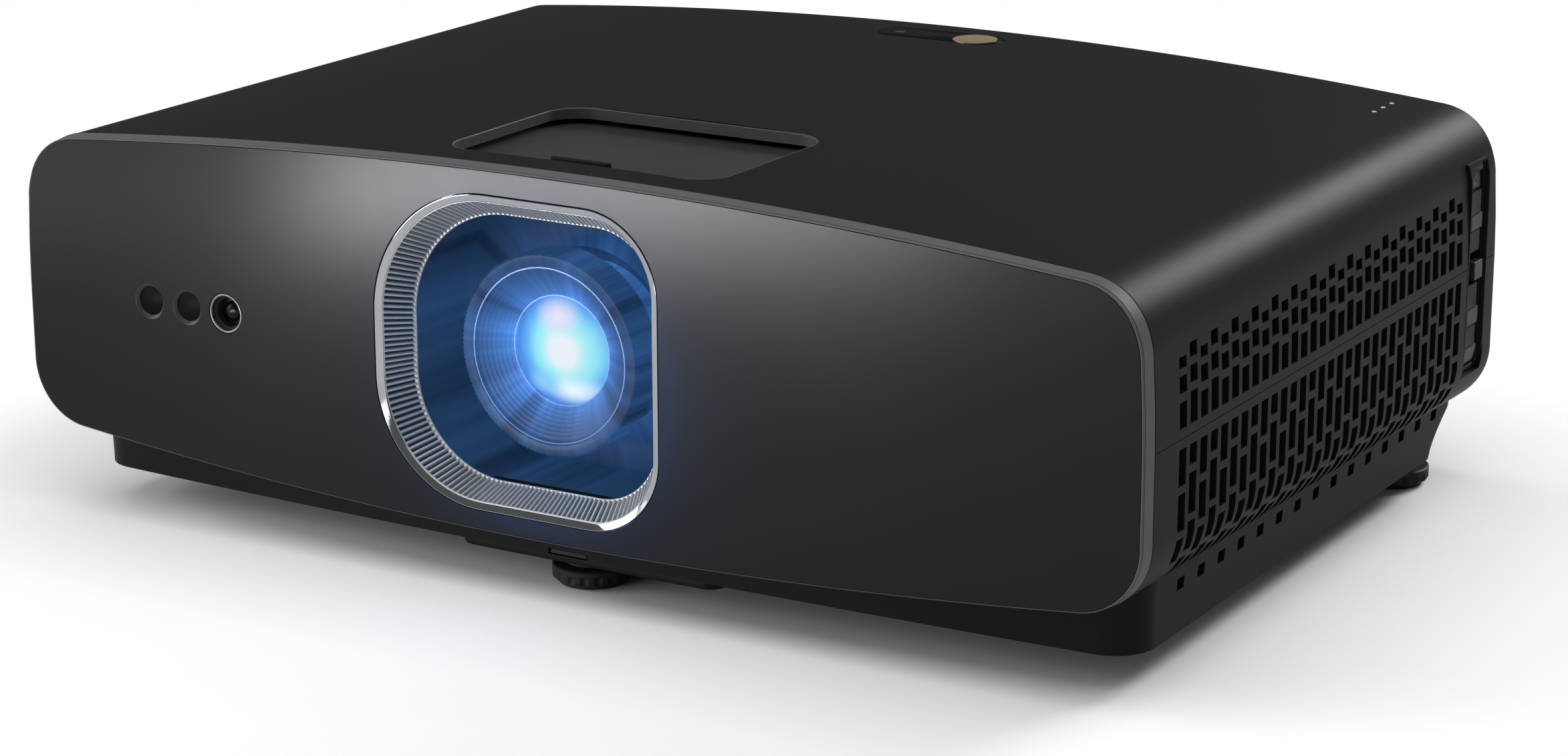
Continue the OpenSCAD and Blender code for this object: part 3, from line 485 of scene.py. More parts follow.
def turned_piece(name, profile, centre, steps, finish, slot, up=False, **more):
    """A piece that is turned from one profile."""
    bm = bmesh.new()
    lathe(bm, profile, centre, steps, up)
    finish_piece(name, bm, finish, slot, **more)


def ring_piece(name, rings, finish, slot, **more):
    """A ring whose section runs through the rings and back to the first."""
    bm = bmesh.new()
    loft(bm, rings + rings[:1])
    merge(bm)
    finish_piece(name, bm, finish, slot, **more)


def softened_copy(node, name, finish, width, slot, body="case"):
    """A copy of a node, its flat faces joined and its edges rounded, standing for that node."""
    bm = bmesh.new()
    bm.from_mesh(frame["nodes"][node].data)
    merge(bm, 1e-6)
    bmesh.ops.dissolve_limit(bm, angle_limit=math.radians(0.5), verts=bm.verts, edges=bm.edges)
    bmesh.ops.scale(bm, vec=(1 / MM,) * 3, verts=bm.verts)
    bmesh.ops.translate(bm, vec=(0, -LOW.y / MM, 0), verts=bm.verts)
    round_bevel(bm, width)
    finish_piece(name, bm, finish, slot, body, stands_for=(node,), solid=False, sharp=20)


def paint_nodes(finish, *nodes):
    """Gives plain nodes a finish."""
    for node in nodes:
        frame["nodes"][node].material_slots[0].material = paint(finish)


# ---- Finishes ----

# A moulded or painted finish. The colour may be the name of one that a user can change. The depth
# of the grain is in micrometres.
# The spill is how the lens's light falls on it: strength, haze, radius at which it starts to fade,
# reach of the fade, strength of its rays, and how far its centre lies aside from the lens.
# The painted shade takes the colour down to a share of it between two heights, darker towards the
# foot: lower, upper, share.
# Their lengths are in millimetres.
Paint = namedtuple(
    "Paint",
    "colour roughness grain swing depth metallic specular coat spill fade",
    defaults=(2500, 0.08, 20, 0, 0.5, 0, None, None),
)

PAINTS = {
    "case_plastic": Paint("case", 0.46, 1800, 0.12, 40, specular=0.05),
    "dark_plastic": Paint("inside", 0.6, 2200, 0.1, 30, specular=0.15),
    "grained_wall": Paint((0.045, 0.045, 0.047), 0.55, 1300, 0.35, 200, specular=0.25),
    "panel_paint": Paint("panel", 0.22, 3200, 0.1, 10, 0.35, 0.12, spill=(0.025, 0, 54, 9, 0.1, 9)),
    # The rim's lower part carries painted shade, darker towards the foot
    "rim_paint": Paint("rim", 0.45, 3000, 0.08, 10, specular=0.12, fade=(20, 46, 0.1)),
    "panel_chamfer": Paint((0.03, 0.031, 0.034), 0.35, 3000, metallic=0.4, specular=0.12),
    "window_black": Paint((0.002, 0.002, 0.0025), 0.4, 900, depth=2, specular=0.03),
    "black_gloss": Paint((0.002, 0.002, 0.0025), 0.22, 900, depth=2, specular=0.12),
    "shroud_plastic": Paint(
        (0.006, 0.007, 0.01), 0.6, 2000, specular=0.06, spill=(0.4, 0.045, 19, 13, 1.0)
    ),
    "funnel_paint": Paint(
        "funnel", 0.4, 3000, 0.06, 10, 0.55, 0.2, spill=(0.06, 0.018, 36, 8, 0.5)
    ),
    # Near-black finish for the floor of the funnel's gaps: painted shade
    "funnel_dark": Paint(
        (0.008, 0.009, 0.011), 0.6, 3000, specular=0.1, spill=(0.06, 0.018, 36, 8, 0.5)
    ),
    "barrel_black": Paint(
        (0.004, 0.0045, 0.006), 0.35, 1500, depth=10, specular=0.1, spill=(0.6, 0.05, 19, 8.5, 0.8)
    ),
    "edge_metal": Paint((0.06, 0.07, 0.09), 0.35, metallic=1, spill=(0.35, 0.12, 22, 12, 0.6)),
    "ring_black": Paint(
        (0.004, 0.0045, 0.006), 0.3, 1700, 0.15, 10, specular=0.06,
        spill=(0.5, 0.065, 19, 9.5, 1.1),
    ),
    "zoom_black": Paint(
        (0.008, 0.009, 0.011), 0.5, 1700, specular=0.1, spill=(0.1, 0.05, 24, 9, 0.6)
    ),
    "door_plastic": Paint((0.02, 0.02, 0.0215), 0.5, 1300, 0.3, 150, specular=0.2),
    "sensor_tint": Paint((0.006, 0.004, 0.0045), 0.2, specular=0.3),
    "light_guide": Paint((0.62, 0.66, 0.7), 0.2, 2000, coat=0.5),
    "key_plastic": Paint("keys", 0.46, 2600, 0.06, 10, specular=0.2),
    "sign_paint": Paint((0.16, 0.16, 0.165), 0.6, 2600, specular=0.1),
    "foot_rubber": Paint((0.009, 0.009, 0.009), 0.75, 1500, depth=50, specular=0.15),
    "foot_plastic": Paint((0.012, 0.012, 0.013), 0.5, 1800, specular=0.1),
    "cast_metal": Paint((0.3, 0.31, 0.32), 0.45, 900, 0.1, 100, 0.8),
}

# Brushed or rolled metals: colour, roughness, swing of the shade
METALS = {
    "bezel_metal": ("bezel", 0.05, 0.02),
    "camera_rim": ((0.1, 0.102, 0.108), 0.3, 0.1),
    "disc_metal": ("gold", 0.32, 0.06),
    "sheet_steel": ("steel", 0.35, 0.1),
    "fin_aluminium": ((0.6, 0.61, 0.63), 0.32, 0.1),
    "heat_pipe_copper": ("copper", 0.25, 0.1),
}

# Colours from the middle of the lit lens to its edge
COATING = (
    (0.0, (0.84, 0.82, 0.83)),
    (0.24, (0.8, 0.84, 0.84)),
    (0.42, (0.42, 0.83, 0.8)),
    (0.6, (0.27, 0.74, 0.82)),
    (0.8, (0.12, 0.42, 0.82)),
    (1.0, (0.055, 0.22, 0.66)),
)
# Painted reflections and glow over it: place beside the axis, half width and height in millimetres,
# colour
PAINTED_REFLECTIONS_AND_GLOW = (
    (-0.5, 11.5, 11, 8, (0.84, 0.72, 0.86)),
    (5, -12.5, 14, 6.5, (0.8, 0.9, 0.95)),
    (-6, -11, 9, 6, (0.25, 0.58, 0.88)),
)


def set_inputs(tree, node, inputs):
    """Links each input that is given a socket, and sets the others."""
    for key, value in inputs.items():
        if isinstance(value, bpy.types.NodeSocket):
            tree.links.new(value, node.inputs[key])
        else:
            node.inputs[key].default_value = value


def add_node(tree, kind, inputs, **settings):
    node = tree.nodes.new("ShaderNode" + kind)
    for key, value in settings.items():
        setattr(node, key, value)
    set_inputs(tree, node, inputs)
    return node


def calc(tree, kind, *values):
    return add_node(tree, "Math", dict(enumerate(values)), operation=kind).outputs[0]


def vector_calc(tree, kind, *values):
    return add_node(tree, "VectorMath", dict(enumerate(values)), operation=kind).outputs[0]


def scaled(tree, vector, factor):
    inputs = {0: vector, "Scale": factor}
    return add_node(tree, "VectorMath", inputs, operation="SCALE").outputs[0]


def length_of(tree, vector):
    return add_node(tree, "VectorMath", {0: vector}, operation="LENGTH").outputs["Value"]


def noise(tree, vector, scale, detail=2.0, rough=0.5):
    inputs = {"Vector": vector, "Scale": scale, "Detail": detail, "Roughness": rough}
    return add_node(tree, "TexNoise", inputs).outputs["Fac"]


def smooth_ramp(tree, value, low, high):
    """0 at one value and 1 at another, with a soft start and end."""
    inputs = {"Value": value, "From Min": low, "From Max": high}
    node = add_node(tree, "MapRange", inputs, interpolation_type="SMOOTHSTEP")
    return node.outputs["Result"]


def swing(tree, mask, amount, gain=2.0):
    """A mask's distance from its middle, times an amount."""
    off = calc(tree, "MULTIPLY", calc(tree, "SUBTRACT", mask, 0.5), amount)
    return calc(tree, "MULTIPLY", off, gain)


def tinted(tree, base, mask, amount):
    """A colour that grows lighter and darker by an amount, following a mask."""
    return scaled(tree, base, calc(tree, "ADD", swing(tree, mask, amount), 1.0))


def moulded_surface(tree, into):
    """Grain of moulded plastic or paint: fine pits, a slow drift of shade and of gloss."""
    fine = noise(tree, into["Vector"], into["Grain"], 3.0, 0.6)
    slow = noise(tree, into["Vector"], 14.0, 3.0, 0.55)
    both = calc(tree, "ADD", calc(tree, "MULTIPLY", fine, 0.6), calc(tree, "MULTIPLY", slow, 0.4))
    gloss = swing(tree, both, into["Roughness Swing"])
    return {
        "Colour": tinted(tree, into["Colour"], both, into["Shade Swing"]),
        "Roughness": calc(tree, "ADD", into["Roughness"], gloss),
        "Height": fine,
    }


def brushed_surface(tree, into):
    """Long fine scratches of brushed or rolled metal."""
    stretch = add_node(tree, "Mapping", {"Vector": into["Vector"], "Scale": (60, 2600, 2600)})
    lines = noise(tree, stretch.outputs[0], 1.0, 4.0, 0.6)
    gloss = swing(tree, lines, into["Swing"], 1.0)
    return {
        "Colour": tinted(tree, into["Colour"], lines, into["Swing"]),
        "Roughness": calc(tree, "ADD", into["Roughness"], gloss),
        "Height": lines,
    }


def light_spill(tree, into):
    """Light that spills round the lens: bright by the glass, fading outwards, with soft rays."""
    away = vector_calc(tree, "SUBTRACT", into["Vector"], into["Centre"])
    flat = vector_calc(tree, "MULTIPLY", away, (1, 0, 1))
    past = calc(tree, "SUBTRACT", into["Core"], length_of(tree, flat))
    fall = calc(tree, "EXPONENT", calc(tree, "DIVIDE", past, into["Reach"]))
    rays = noise(tree, vector_calc(tree, "NORMALIZE", flat), 2.6, 3.0, 0.6)
    streak = calc(tree, "ADD", swing(tree, rays, into["Rays"], 3.0), 1.0)
    streak = calc(tree, "MAXIMUM", streak, 0.15)
    light = calc(tree, "MULTIPLY", calc(tree, "MINIMUM", fall, 1.6), into["Strength"])
    glow = scaled(tree, into["Glow"], calc(tree, "MULTIPLY", light, streak))
    veil = scaled(tree, into["Veil"], calc(tree, "MULTIPLY", streak, into["Haze"]))
    return {"Colour": vector_calc(tree, "ADD", glow, veil)}


# The groups' named inputs: one number is a value, three are a vector, four a colour
GROUP_INPUTS = {
    moulded_surface: {
        "Vector": (0, 0, 0), "Colour": (0.1, 0.1, 0.1, 1), "Grain": 2500.0,
        "Shade Swing": 0.08, "Roughness": 0.5, "Roughness Swing": 0.06,
    },
    brushed_surface: {
        "Vector": (0, 0, 0), "Colour": (0.6, 0.6, 0.6, 1), "Roughness": 0.3, "Swing": 0.1,
    },
    light_spill: {
        "Vector": (0, 0, 0), "Centre": (0, 0, 0), "Glow": (0.1, 0.3, 1, 1),
        "Veil": (0.15, 0.4, 1, 1), "Core": 0.018, "Reach": 0.008, "Strength": 0.5,
        "Haze": 0.1, "Rays": 0.8,
    },
}
FLOAT, VECTOR, COLOUR = "NodeSocketFloat", "NodeSocketVector", "NodeSocketColor"


def node_group(build):
    """A node group with named sockets, built the first time it is needed."""
    tree = bpy.data.node_groups.get(build.__name__)
    if tree:
        return tree
    tree = bpy.data.node_groups.new(build.__name__, "ShaderNodeTree")
    for label, default in GROUP_INPUTS[build].items():
        kind = {3: VECTOR, 4: COLOUR}[len(default)] if isinstance(default, tuple) else FLOAT
        socket = tree.interface.new_socket(label, in_out="INPUT", socket_type=kind)
        socket.default_value = default
    made = build(tree, tree.nodes.new("NodeGroupInput").outputs)
    for label in made:
        kind = COLOUR if label == "Colour" else FLOAT
        tree.interface.new_socket(label, in_out="OUTPUT", socket_type=kind)
    set_inputs(tree, tree.nodes.new("NodeGroupOutput"), made)
    return tree


def use_group(tree, build, inputs):
    """Places a group in a material, with its own values."""
    return add_node(tree, "Group", inputs, node_tree=node_group(build)).outputs


def rgba(colour_or_name):
    if isinstance(colour_or_name, str):
        return paint_colour(colour_or_name)
    return (*colour_or_name, 1)


def bumped(tree, height, depth):
    inputs = {"Height": height, "Strength": 0.6, "Distance": depth}
    return add_node(tree, "Bump", inputs).outputs[0]


def surface(tree, coords, build, depth, inputs):
    """The colour, roughness and grain of a group, as the shader's inputs."""
    skin = use_group(tree, build, {"Vector": coords, **inputs})
    return {
        "Base Color": skin["Colour"],
        "Roughness": skin["Roughness"],
        "Normal": bumped(tree, skin["Height"], depth),
    }


def faded(tree, coords, base, low, high, share):
    """Painted shade: a colour taken down to a share of itself towards the foot of the part."""
    height = add_node(tree, "SeparateXYZ", {0: coords}).outputs["Z"]
    inputs = {"Value": height, "From Min": low * MM, "From Max": high * MM, "To Min": share}
    return scaled(tree, base, add_node(tree, "MapRange", inputs).outputs["Result"])


def spilled(tree, coords, strength, haze, core, reach, rays, aside=0):
    """The lens's light on a finish."""
    light = use_group(tree, light_spill, {
        "Vector": coords, "Centre": ((AXIS_X + aside) * MM, 0, AXIS_Z * MM),
        "Glow": paint_colour("glow"), "Veil": paint_colour("veil"), "Core": core * MM,
        "Reach": reach * MM, "Strength": strength, "Haze": haze, "Rays": rays,
    })
    return {"Emission Color": light["Colour"], "Emission Strength": 1.0}


# Each finish below gives the shader's inputs


def moulded(tree, coords, name):
    """A moulded or painted finish."""
    look = PAINTS[name]
    inputs = surface(tree, coords, moulded_surface, look.depth * 1e-6, {
        "Colour": rgba(look.colour), "Grain": look.grain, "Shade Swing": look.swing,
        "Roughness": look.roughness,
    })
    # Painted shade: the colour grows darker towards the foot
    if look.fade:
        inputs["Base Color"] = faded(tree, coords, inputs["Base Color"], *look.fade)
    if look.spill:
        inputs |= spilled(tree, coords, *look.spill)
    plain = {"Metallic": look.metallic, "Specular IOR Level": look.specular}
    return inputs | plain | {"Coat Weight": look.coat}


def metal(tree, coords, name):
    """A brushed or rolled metal finish."""
    tone, roughness, shade = METALS[name]
    inputs = {"Colour": rgba(tone), "Roughness": roughness, "Swing": shade}
    return surface(tree, coords, brushed_surface, 1e-5, inputs) | {"Metallic": 1.0}


def circuit_board(tree, coords, name):
    """Green lacquer over copper tracks and pads."""
    base = paint_colour("board")
    tracks = add_node(tree, "TexBrick", {
        "Vector": coords, "Scale": 90, "Mortar Size": 0.03, "Color1": base,
        "Color2": (*(c * 1.25 for c in base[:3]), 1),
        "Mortar": (*(min(1, c * 2.2 + 0.02) for c in base[:3]), 1),
    }).outputs
    grain = calc(tree, "MULTIPLY", noise(tree, coords, 800.0), 0.2)
    return {
        "Base Color": tracks["Color"],
        "Roughness": calc(tree, "ADD", grain, 0.3),
        "Normal": bumped(tree, tracks["Fac"], 3e-5),
    }


def oval(tree, coords, x, z, wide, tall):
    """Distance from a place beside the lens axis, 1 on an oval round it; sizes in millimetres."""
    away = vector_calc(tree, "SUBTRACT", coords, ((AXIS_X + x) * MM, 0, (AXIS_Z + z) * MM))
    stretch = (1 / (wide * MM), 0, 1 / (tall * MM))
    return length_of(tree, vector_calc(tree, "MULTIPLY", away, stretch))


def lens_coating(tree, coords, name):
    """Coated glass with the lamp's light behind it: white in the middle, cyan, then blue."""
    drift = swing(tree, noise(tree, coords, 70.0, 1.5), 0.3, 1.0)
    reach = calc(tree, "ADD", oval(tree, coords, 2.2, 0.3, 19, 18.5), drift)
    ramp = add_node(tree, "ValToRGB", {0: reach})
    points = ramp.color_ramp.elements
    for point, (_, tone) in zip(points, (COATING[0], COATING[-1])):
        point.color = rgba(tone)
    for place, tone in COATING[1:-1]:
        points.new(place).color = rgba(tone)
    light = ramp.outputs[0]
    # Painted reflections and glow laid over the lit glass
    for *place, tone in PAINTED_REFLECTIONS_AND_GLOW:
        spot = smooth_ramp(tree, oval(tree, coords, *place), 1.0, 0.0)
        inputs = {"Fac": spot, "Color1": light, "Color2": rgba(tone)}
        light = add_node(tree, "MixRGB", inputs).outputs[0]
    seen = add_node(tree, "LightPath", {}).outputs["Is Camera Ray"]
    fainter = calc(tree, "MULTIPLY", seen, GLOW_SEEN - GLOW_REACH)
    return {
        "Base Color": (0.02, 0.05, 0.1, 1),
        "Roughness": 0.2,
        "Specular IOR Level": 0.01,
        "Emission Color": light,
        "Emission Strength": calc(tree, "ADD", fainter, GLOW_REACH),
    }


def clear_glass(tree, coords, name):
    haze = calc(tree, "MULTIPLY", noise(tree, coords, 400.0), 0.04)
    return {"Base Color": (0.9, 0.95, 1, 1), "Roughness": haze, "Transmission Weight": 1.0}


def backdrop(tree, coords, name):
    """Pale floor that holds the shadow, and turns white where it is seen far from the part."""
    base = add_node(tree, "RGB", {}).outputs[0]
    base.default_value = paint_colour("floor")
    far = smooth_ramp(tree, length_of(tree, coords), WHITE_FROM, WHITE_FULL)
    path = add_node(tree, "LightPath", {}).outputs
    mirrored = calc(tree, "MAXIMUM", path["Is Glossy Ray"], path["Is Transmission Ray"])
    seen = calc(tree, "MAXIMUM", path["Is Camera Ray"], mirrored)
    white = calc(tree, "MULTIPLY", far, seen)
    near = tinted(tree, base, noise(tree, coords, 30.0), 0.01)
    return {
        "Base Color": scaled(tree, near, calc(tree, "SUBTRACT", 1.0, white)),
        "Roughness": 0.9,
        "Specular IOR Level": 0.0,
        "Emission Color": WHITE,
        "Emission Strength": white,
    }


SPECIAL_FINISHES = {
    "circuit_board": circuit_board,
    "front_coating": lens_coating,
    "clear_glass": clear_glass,
    "floor_paint": backdrop,
}


def paint(name):
    """Finds a finish by its name, or makes it."""
    if name in bpy.data.materials:
        return bpy.data.materials[name]
    material = bpy.data.materials.new(name)
    material.use_nodes = True
    tree = material.node_tree
    tree.nodes.clear()
    coords = add_node(tree, "TexCoord", {}).outputs["Object"]
    finish = SPECIAL_FINISHES.get(name) or (moulded if name in PAINTS else metal)
    inputs = {"Coat Roughness": 0.1, "IOR": 1.5} | finish(tree, coords, name)
    shader = add_node(tree, "BsdfPrincipled", inputs)
    add_node(tree, "OutputMaterial", {0: shader.outputs[0]})
    return material


# ---- Operators ----


class PieceOperator(bpy.types.Operator):
    bl_options = {"REGISTER", "UNDO"}

    def execute(self, context):
        self.make(sizes())
        return {"FINISHED"}


def open_slots(bm, s, even, odd, recess_z, more=(), skip_low=0):
    """Cuts a shell level at the ends of its slots and of the key recess, then opens them. A slot of
    the first column that starts under skip_low stays closed."""
    heights = {s["base_z"] + end for slot in (*even, *odd, *more) for end in slot}
    for z in sorted(heights | {recess_z}):
        geom = bm.verts[:] + bm.edges[:] + bm.faces[:]
        bmesh.ops.bisect_plane(bm, geom=geom, plane_co=(0, 0, z), plane_no=(0, 0, 1), dist=1e-5)

    def is_open(x, y, z):
        if abs(x) < SIDES_FROM:
            return False
        if x > 0 and KEYPAD[0].y < y < KEYPAD[1].y and KEYPAD[0].z < z < KEYPAD[1].z:
            return True
        column = round((y - s["vent_y"]) / s["vent_pitch"])
        off = abs(y - s["vent_y"] - column * s["vent_pitch"])
        if off > s["vent_w"] / 2 or not 0 <= column < s["vent_columns"]:
            return False
        return any(
            lo < z - s["base_z"] < hi and not (column == 0 and lo < skip_low)
            for lo, hi in (odd if column % 2 else even)
        )

    doomed = [face for face in bm.faces if is_open(*face.calc_center_median())]
    bmesh.ops.delete(bm, geom=doomed, context="FACES")


def shell_stations(s):
    """Places along the depth where the shell's section is drawn, with the section's inset."""
    flush, turn = 0.3, s["rear_round"]
    back = DEPTH - turn
    out = [(6.9, 1.0), (7.1, 0.5), (7.5, flush), (KEYPAD[0].y, flush), (KEYPAD[1].y, flush)]
    for column in range(s["vent_columns"] + 1):
        y = s["vent_y"] + column * s["vent_pitch"]
        out += [(y - s["vent_w"] / 2, flush), (y + s["vent_w"] / 2, flush)]
    out = sorted({station for station in out if station[0] < back - 1})
    for a in (math.radians(15 * i) for i in range(7)):
        out.append((back + turn * math.sin(a), flush + turn * (1 - math.cos(a))))
    return out + [(DEPTH, flush + turn + 1.2)]


class PROJECTOR_OT_case_top(PieceOperator):
    """Build the upper half of the case with its slots and openings"""

    bl_idname = "projector.case_top"
    bl_label = "Case top"

    def make(self, s):
        floor_z = s["split_z"] + SEAM_GAP
        bm = bmesh.new()
        rings = [upright(half_line(s, inset, floor_z, True), y) for y, inset in shell_stations(s)]
        loft(bm, rings, closed=False)
        open_slots(bm, s, UPPER_LOW, UPPER_TALL, KEYPAD[1].z)
        point_faces(bm, True)
        (x0, y0, _), (x1, y1, _) = box_mm("top_ir_window")
        pill = round_plan(x0 + 1.7, x1 - 1.7, y0 + 1.75, y1 - 1.75, 8.45, 14)
        (x,), first = centre_of("status_lights", "x"), box_mm("status_lights")[0].y + 0.8
        pins = [arc(x, first + 8 * k, 0.95, 0, 345, 23) for k in range(3)]
        cuts = []
        for plan, deep in ((self.door_plan(0.55), 9), (pill, 9), *((pin, 15) for pin in pins)):
            hole = bmesh.new()
            prism_up(hole, plan, TALL - deep, TALL + 5)
            cuts.append(cutter_of(hole))
        finish_piece("case_top", bm, "case_plastic", "case_black", stands_for=("upper_case",),
                     wall=s["skin"], edge=0.3, cuts=cuts, solid=False)
        self.lip(s)

    def door_plan(self, grow):
        half = DOOR[1].x - 1 + grow
        front = DOOR[0].y + 1.5 - grow
        back = DOOR[1].y - 3 + grow
        return round_plan(-half, half, front, back, 12 + grow, 10)

    def lip(self, s):
        """The wall of the control opening, its top following the bowed case."""
        inner, outer, wide = self.door_plan(0), self.door_plan(0.5), self.door_plan(1.2)
        low, shelf, under_top = TALL - 4.5, TALL - 3.6, 0.32
        ring_piece("opening_lip", [
            level(inner, low),
            [(x, y, top_at(s, x) - 0.55) for x, y in inner],
            [(x * 0.998, y, top_at(s, x) - under_top) for x, y in self.door_plan(0.25)],
            [(x, y, top_at(s, x) - under_top) for x, y in outer],
            level(outer, shelf),
            level(wide, shelf),
            level(wide, low),
        ], "grained_wall", "case_black")


class PROJECTOR_OT_case_bottom(PieceOperator):
    """Build the lower half of the case with its slots"""

    bl_idname = "projector.case_bottom"
    bl_label = "Case bottom"

    def make(self, s):
        top_z, sinks_over = s["split_z"] - SEAM_GAP, 28
        bm = bmesh.new()
        rings = []
        for y, inset in shell_stations(s):
            sink = s["rear_drop"] * y / DEPTH
            line = half_line(s, inset, top_z, False)
            rings.append([(x, y, z - sink * share_of(top_z - z, sinks_over)) for x, z in line])
        loft(bm, rings, closed=False)
        open_slots(bm, s, LOWER_LONG, LOWER_SHORT, KEYPAD[0].z, [FOOT_SLOT], 24)
        point_faces(bm, False)
        finish_piece("case_bottom", bm, "case_plastic", "case_black", stands_for=("lower_case",),
                     wall=s["skin"], edge=0.3, solid=False)


class PROJECTOR_OT_base(PieceOperator):
    """Build the base under the case, with its plinth, slots and screw bosses"""

    bl_idname = "projector.base"
    bl_label = "Base"

    def outline(self, s, z):
        """The base's plan at a height over its underside."""
        front, bow, corner = 14.1, 4.9, 14.0
        flare = 0.9 * (z / 20) ** 2
        half = BASE_HALF + flare
        back = min(267.0 + 17 * min(1, z / 16) ** 1.4, DEPTH - 5)
        big, x, along, meet = bowed_half(half, bow, corner)
        mid = front - flare + big
        y = mid - along
        return (
            arc(0, mid, big, 180 + meet, 360 - meet, 30)
            + arc(x, y, corner, 360 - meet, 360, 8)[1:]
            + arc(x, back - corner, corner, 0, 90, 8)
            + arc(-x, back - corner, corner, 90, 180, 8)
            + arc(-x, y, corner, 180, 180 + meet, 8)[:-1]
        )

    def make(self, s):
        base, half_slot = s["base_z"], s["vent_w"] / 2
        bm = bmesh.new()
        heights = (0, 3, 6, 9, 12, 15, 18, 22.5)
        edges = loft(bm, [level(self.outline(s, up), base + up) for up in heights])
        bmesh.ops.edgeloop_fill(bm, edges=edges[0])
        point_faces(bm, False)
        cuts = bmesh.new()
        block(cuts, (-7.5, 5, base + 0.1), (7.5, 20.4, base + 2.1))
        for x in (-BASE_HALF, BASE_HALF):
            for k in range(s["vent_columns"] // 2):
                y = s["vent_y"] + (2 * k + 3) * s["vent_pitch"]
                block(cuts, (x - 8, y - half_slot, base + FOOT_SLOT[0]),
                      (x + 8, y + half_slot, base + FOOT_SLOT[1]))
        finish_piece("case_base", bm, "case_plastic", "case_black", wall=s["skin"], edge=0.3,
                     cuts=[cutter_of(cuts), self.hole_cutter(base)], solid=False)
        plinth = bmesh.new()
        prism_up(plinth, round_plan(-44.8, 55.2, 16.1, 52.1, 6), base - 3, base + 0.05)
        finish_piece("foot_plinth", plinth, "case_plastic", "case_black", edge=0.8,
                     cuts=[self.hole_cutter(base)])
        bosses = bmesh.new()
        low = base + 2.6
        for x, y, r in self.holes():
            top = low + (16.6 if r > 5 else 11 if r > 3 else 5)
            lathe(bosses, [(r, low), (r + 3, low), (r + 3, top), (r, top)], (x, y), 40, up=True)
        finish_piece("base_bosses", bosses, "case_plastic", "case_black")

    def holes(self):
        """Middle and radius of each round hole, for the feet and the ceiling bracket's screws."""
        out = []
        for node, r in (("front_foot_leg", 9.1), ("rear_left_disc", 4.1), ("rear_right_disc", 4.1)):
            out.append((*centre_of(node, "xy"), r))
        mount = next(m for m in frame["record"]["mounts"] if m["kind"] == "bolt_pattern")
        x, y, _ = (Vector(mount["pos_m"]) - Vector((0, LOW.y, 0))) / MM
        dims = mount["dims"]
        across, along = dims["spacing_x_mm"] / 2, dims["spacing_y_mm"] / 2
        for px in (x - across, x + across):
            for py in (y - along, y + along):
                out.append((px, py, dims["hole_r_mm"]))
        return out

    def hole_cutter(self, base):
        bm = bmesh.new()
        for x, y, r in self.holes():
            prism_up(bm, arc(x, y, r, 0, 350, 35), base - 5, base + 6)
        return cutter_of(bm)


def sensor_places():
    """Centre of each sensor window and of the camera, with the radius of its hole in the panel."""
    lo, hi = box_mm("sensor_windows")
    (z,), (camera,) = centre_of("sensor_windows", "z"), centre_of("camera_ring", "x")
    return [((lo.x + SENSOR_IN, z), 6.15), ((hi.x - SENSOR_IN, z), 6.15), ((camera, z), 6.95)]


class PROJECTOR_OT_front_panel(PieceOperator):
    """Build the front panel and its rim"""

    bl_idname = "projector.front_panel"
    bl_label = "Front panel"

    def make(self, s):
        bm = bmesh.new()
        loops = [upright(whole_line(s, 1.35), 0.0)]
        loops.append([window_point(p, -0.35, 0.0) for p in window_samples(s, 140, 0)])
        for (x, z), r in sensor_places():
            loops.append(upright(arc(x, z, r, 0, 360 - 7.5, 47), 0.0))
        edges = [edge for loop in loops for edge in draw(bm, loop)[1]]
        bmesh.ops.triangle_fill(bm, edges=edges, use_beauty=True, use_dissolve=False)
        bmesh.ops.dissolve_limit(bm, angle_limit=0.01, verts=bm.verts, edges=bm.edges)
        bmesh.ops.triangulate(bm, faces=bm.faces)
        made = bmesh.ops.extrude_face_region(bm, geom=bm.faces[:])["geom"]
        back = [v for v in made if isinstance(v, bmesh.types.BMVert)]
        bmesh.ops.translate(bm, vec=(0, 2.4, 0), verts=back)
        finish_piece("panel_face", bm, "panel_paint", "panel_grey", stands_for=("front_panel",),
                     edge=0.12)
        # The rim: a bright edge, a dark groove, then a wall that flares out to the case
        profile = [(1.3, 0.35), (1.2, 0.12), (0.95, 0.05), (0.8, 0.3), (0.75, 0.85), (1.15, 0.95),
                   (1.15, 1.35), (0.72, 1.5), (0.1, 6.3), (0.25, 6.5), (2.4, 6.5), (2.6, 2.6),
                   (1.5, 2.5)]
        rings = [upright(whole_line(s, inset), y) for inset, y in profile]
        ring_piece("panel_rim", rings, "rim_paint", "panel_grey", sharp=40)


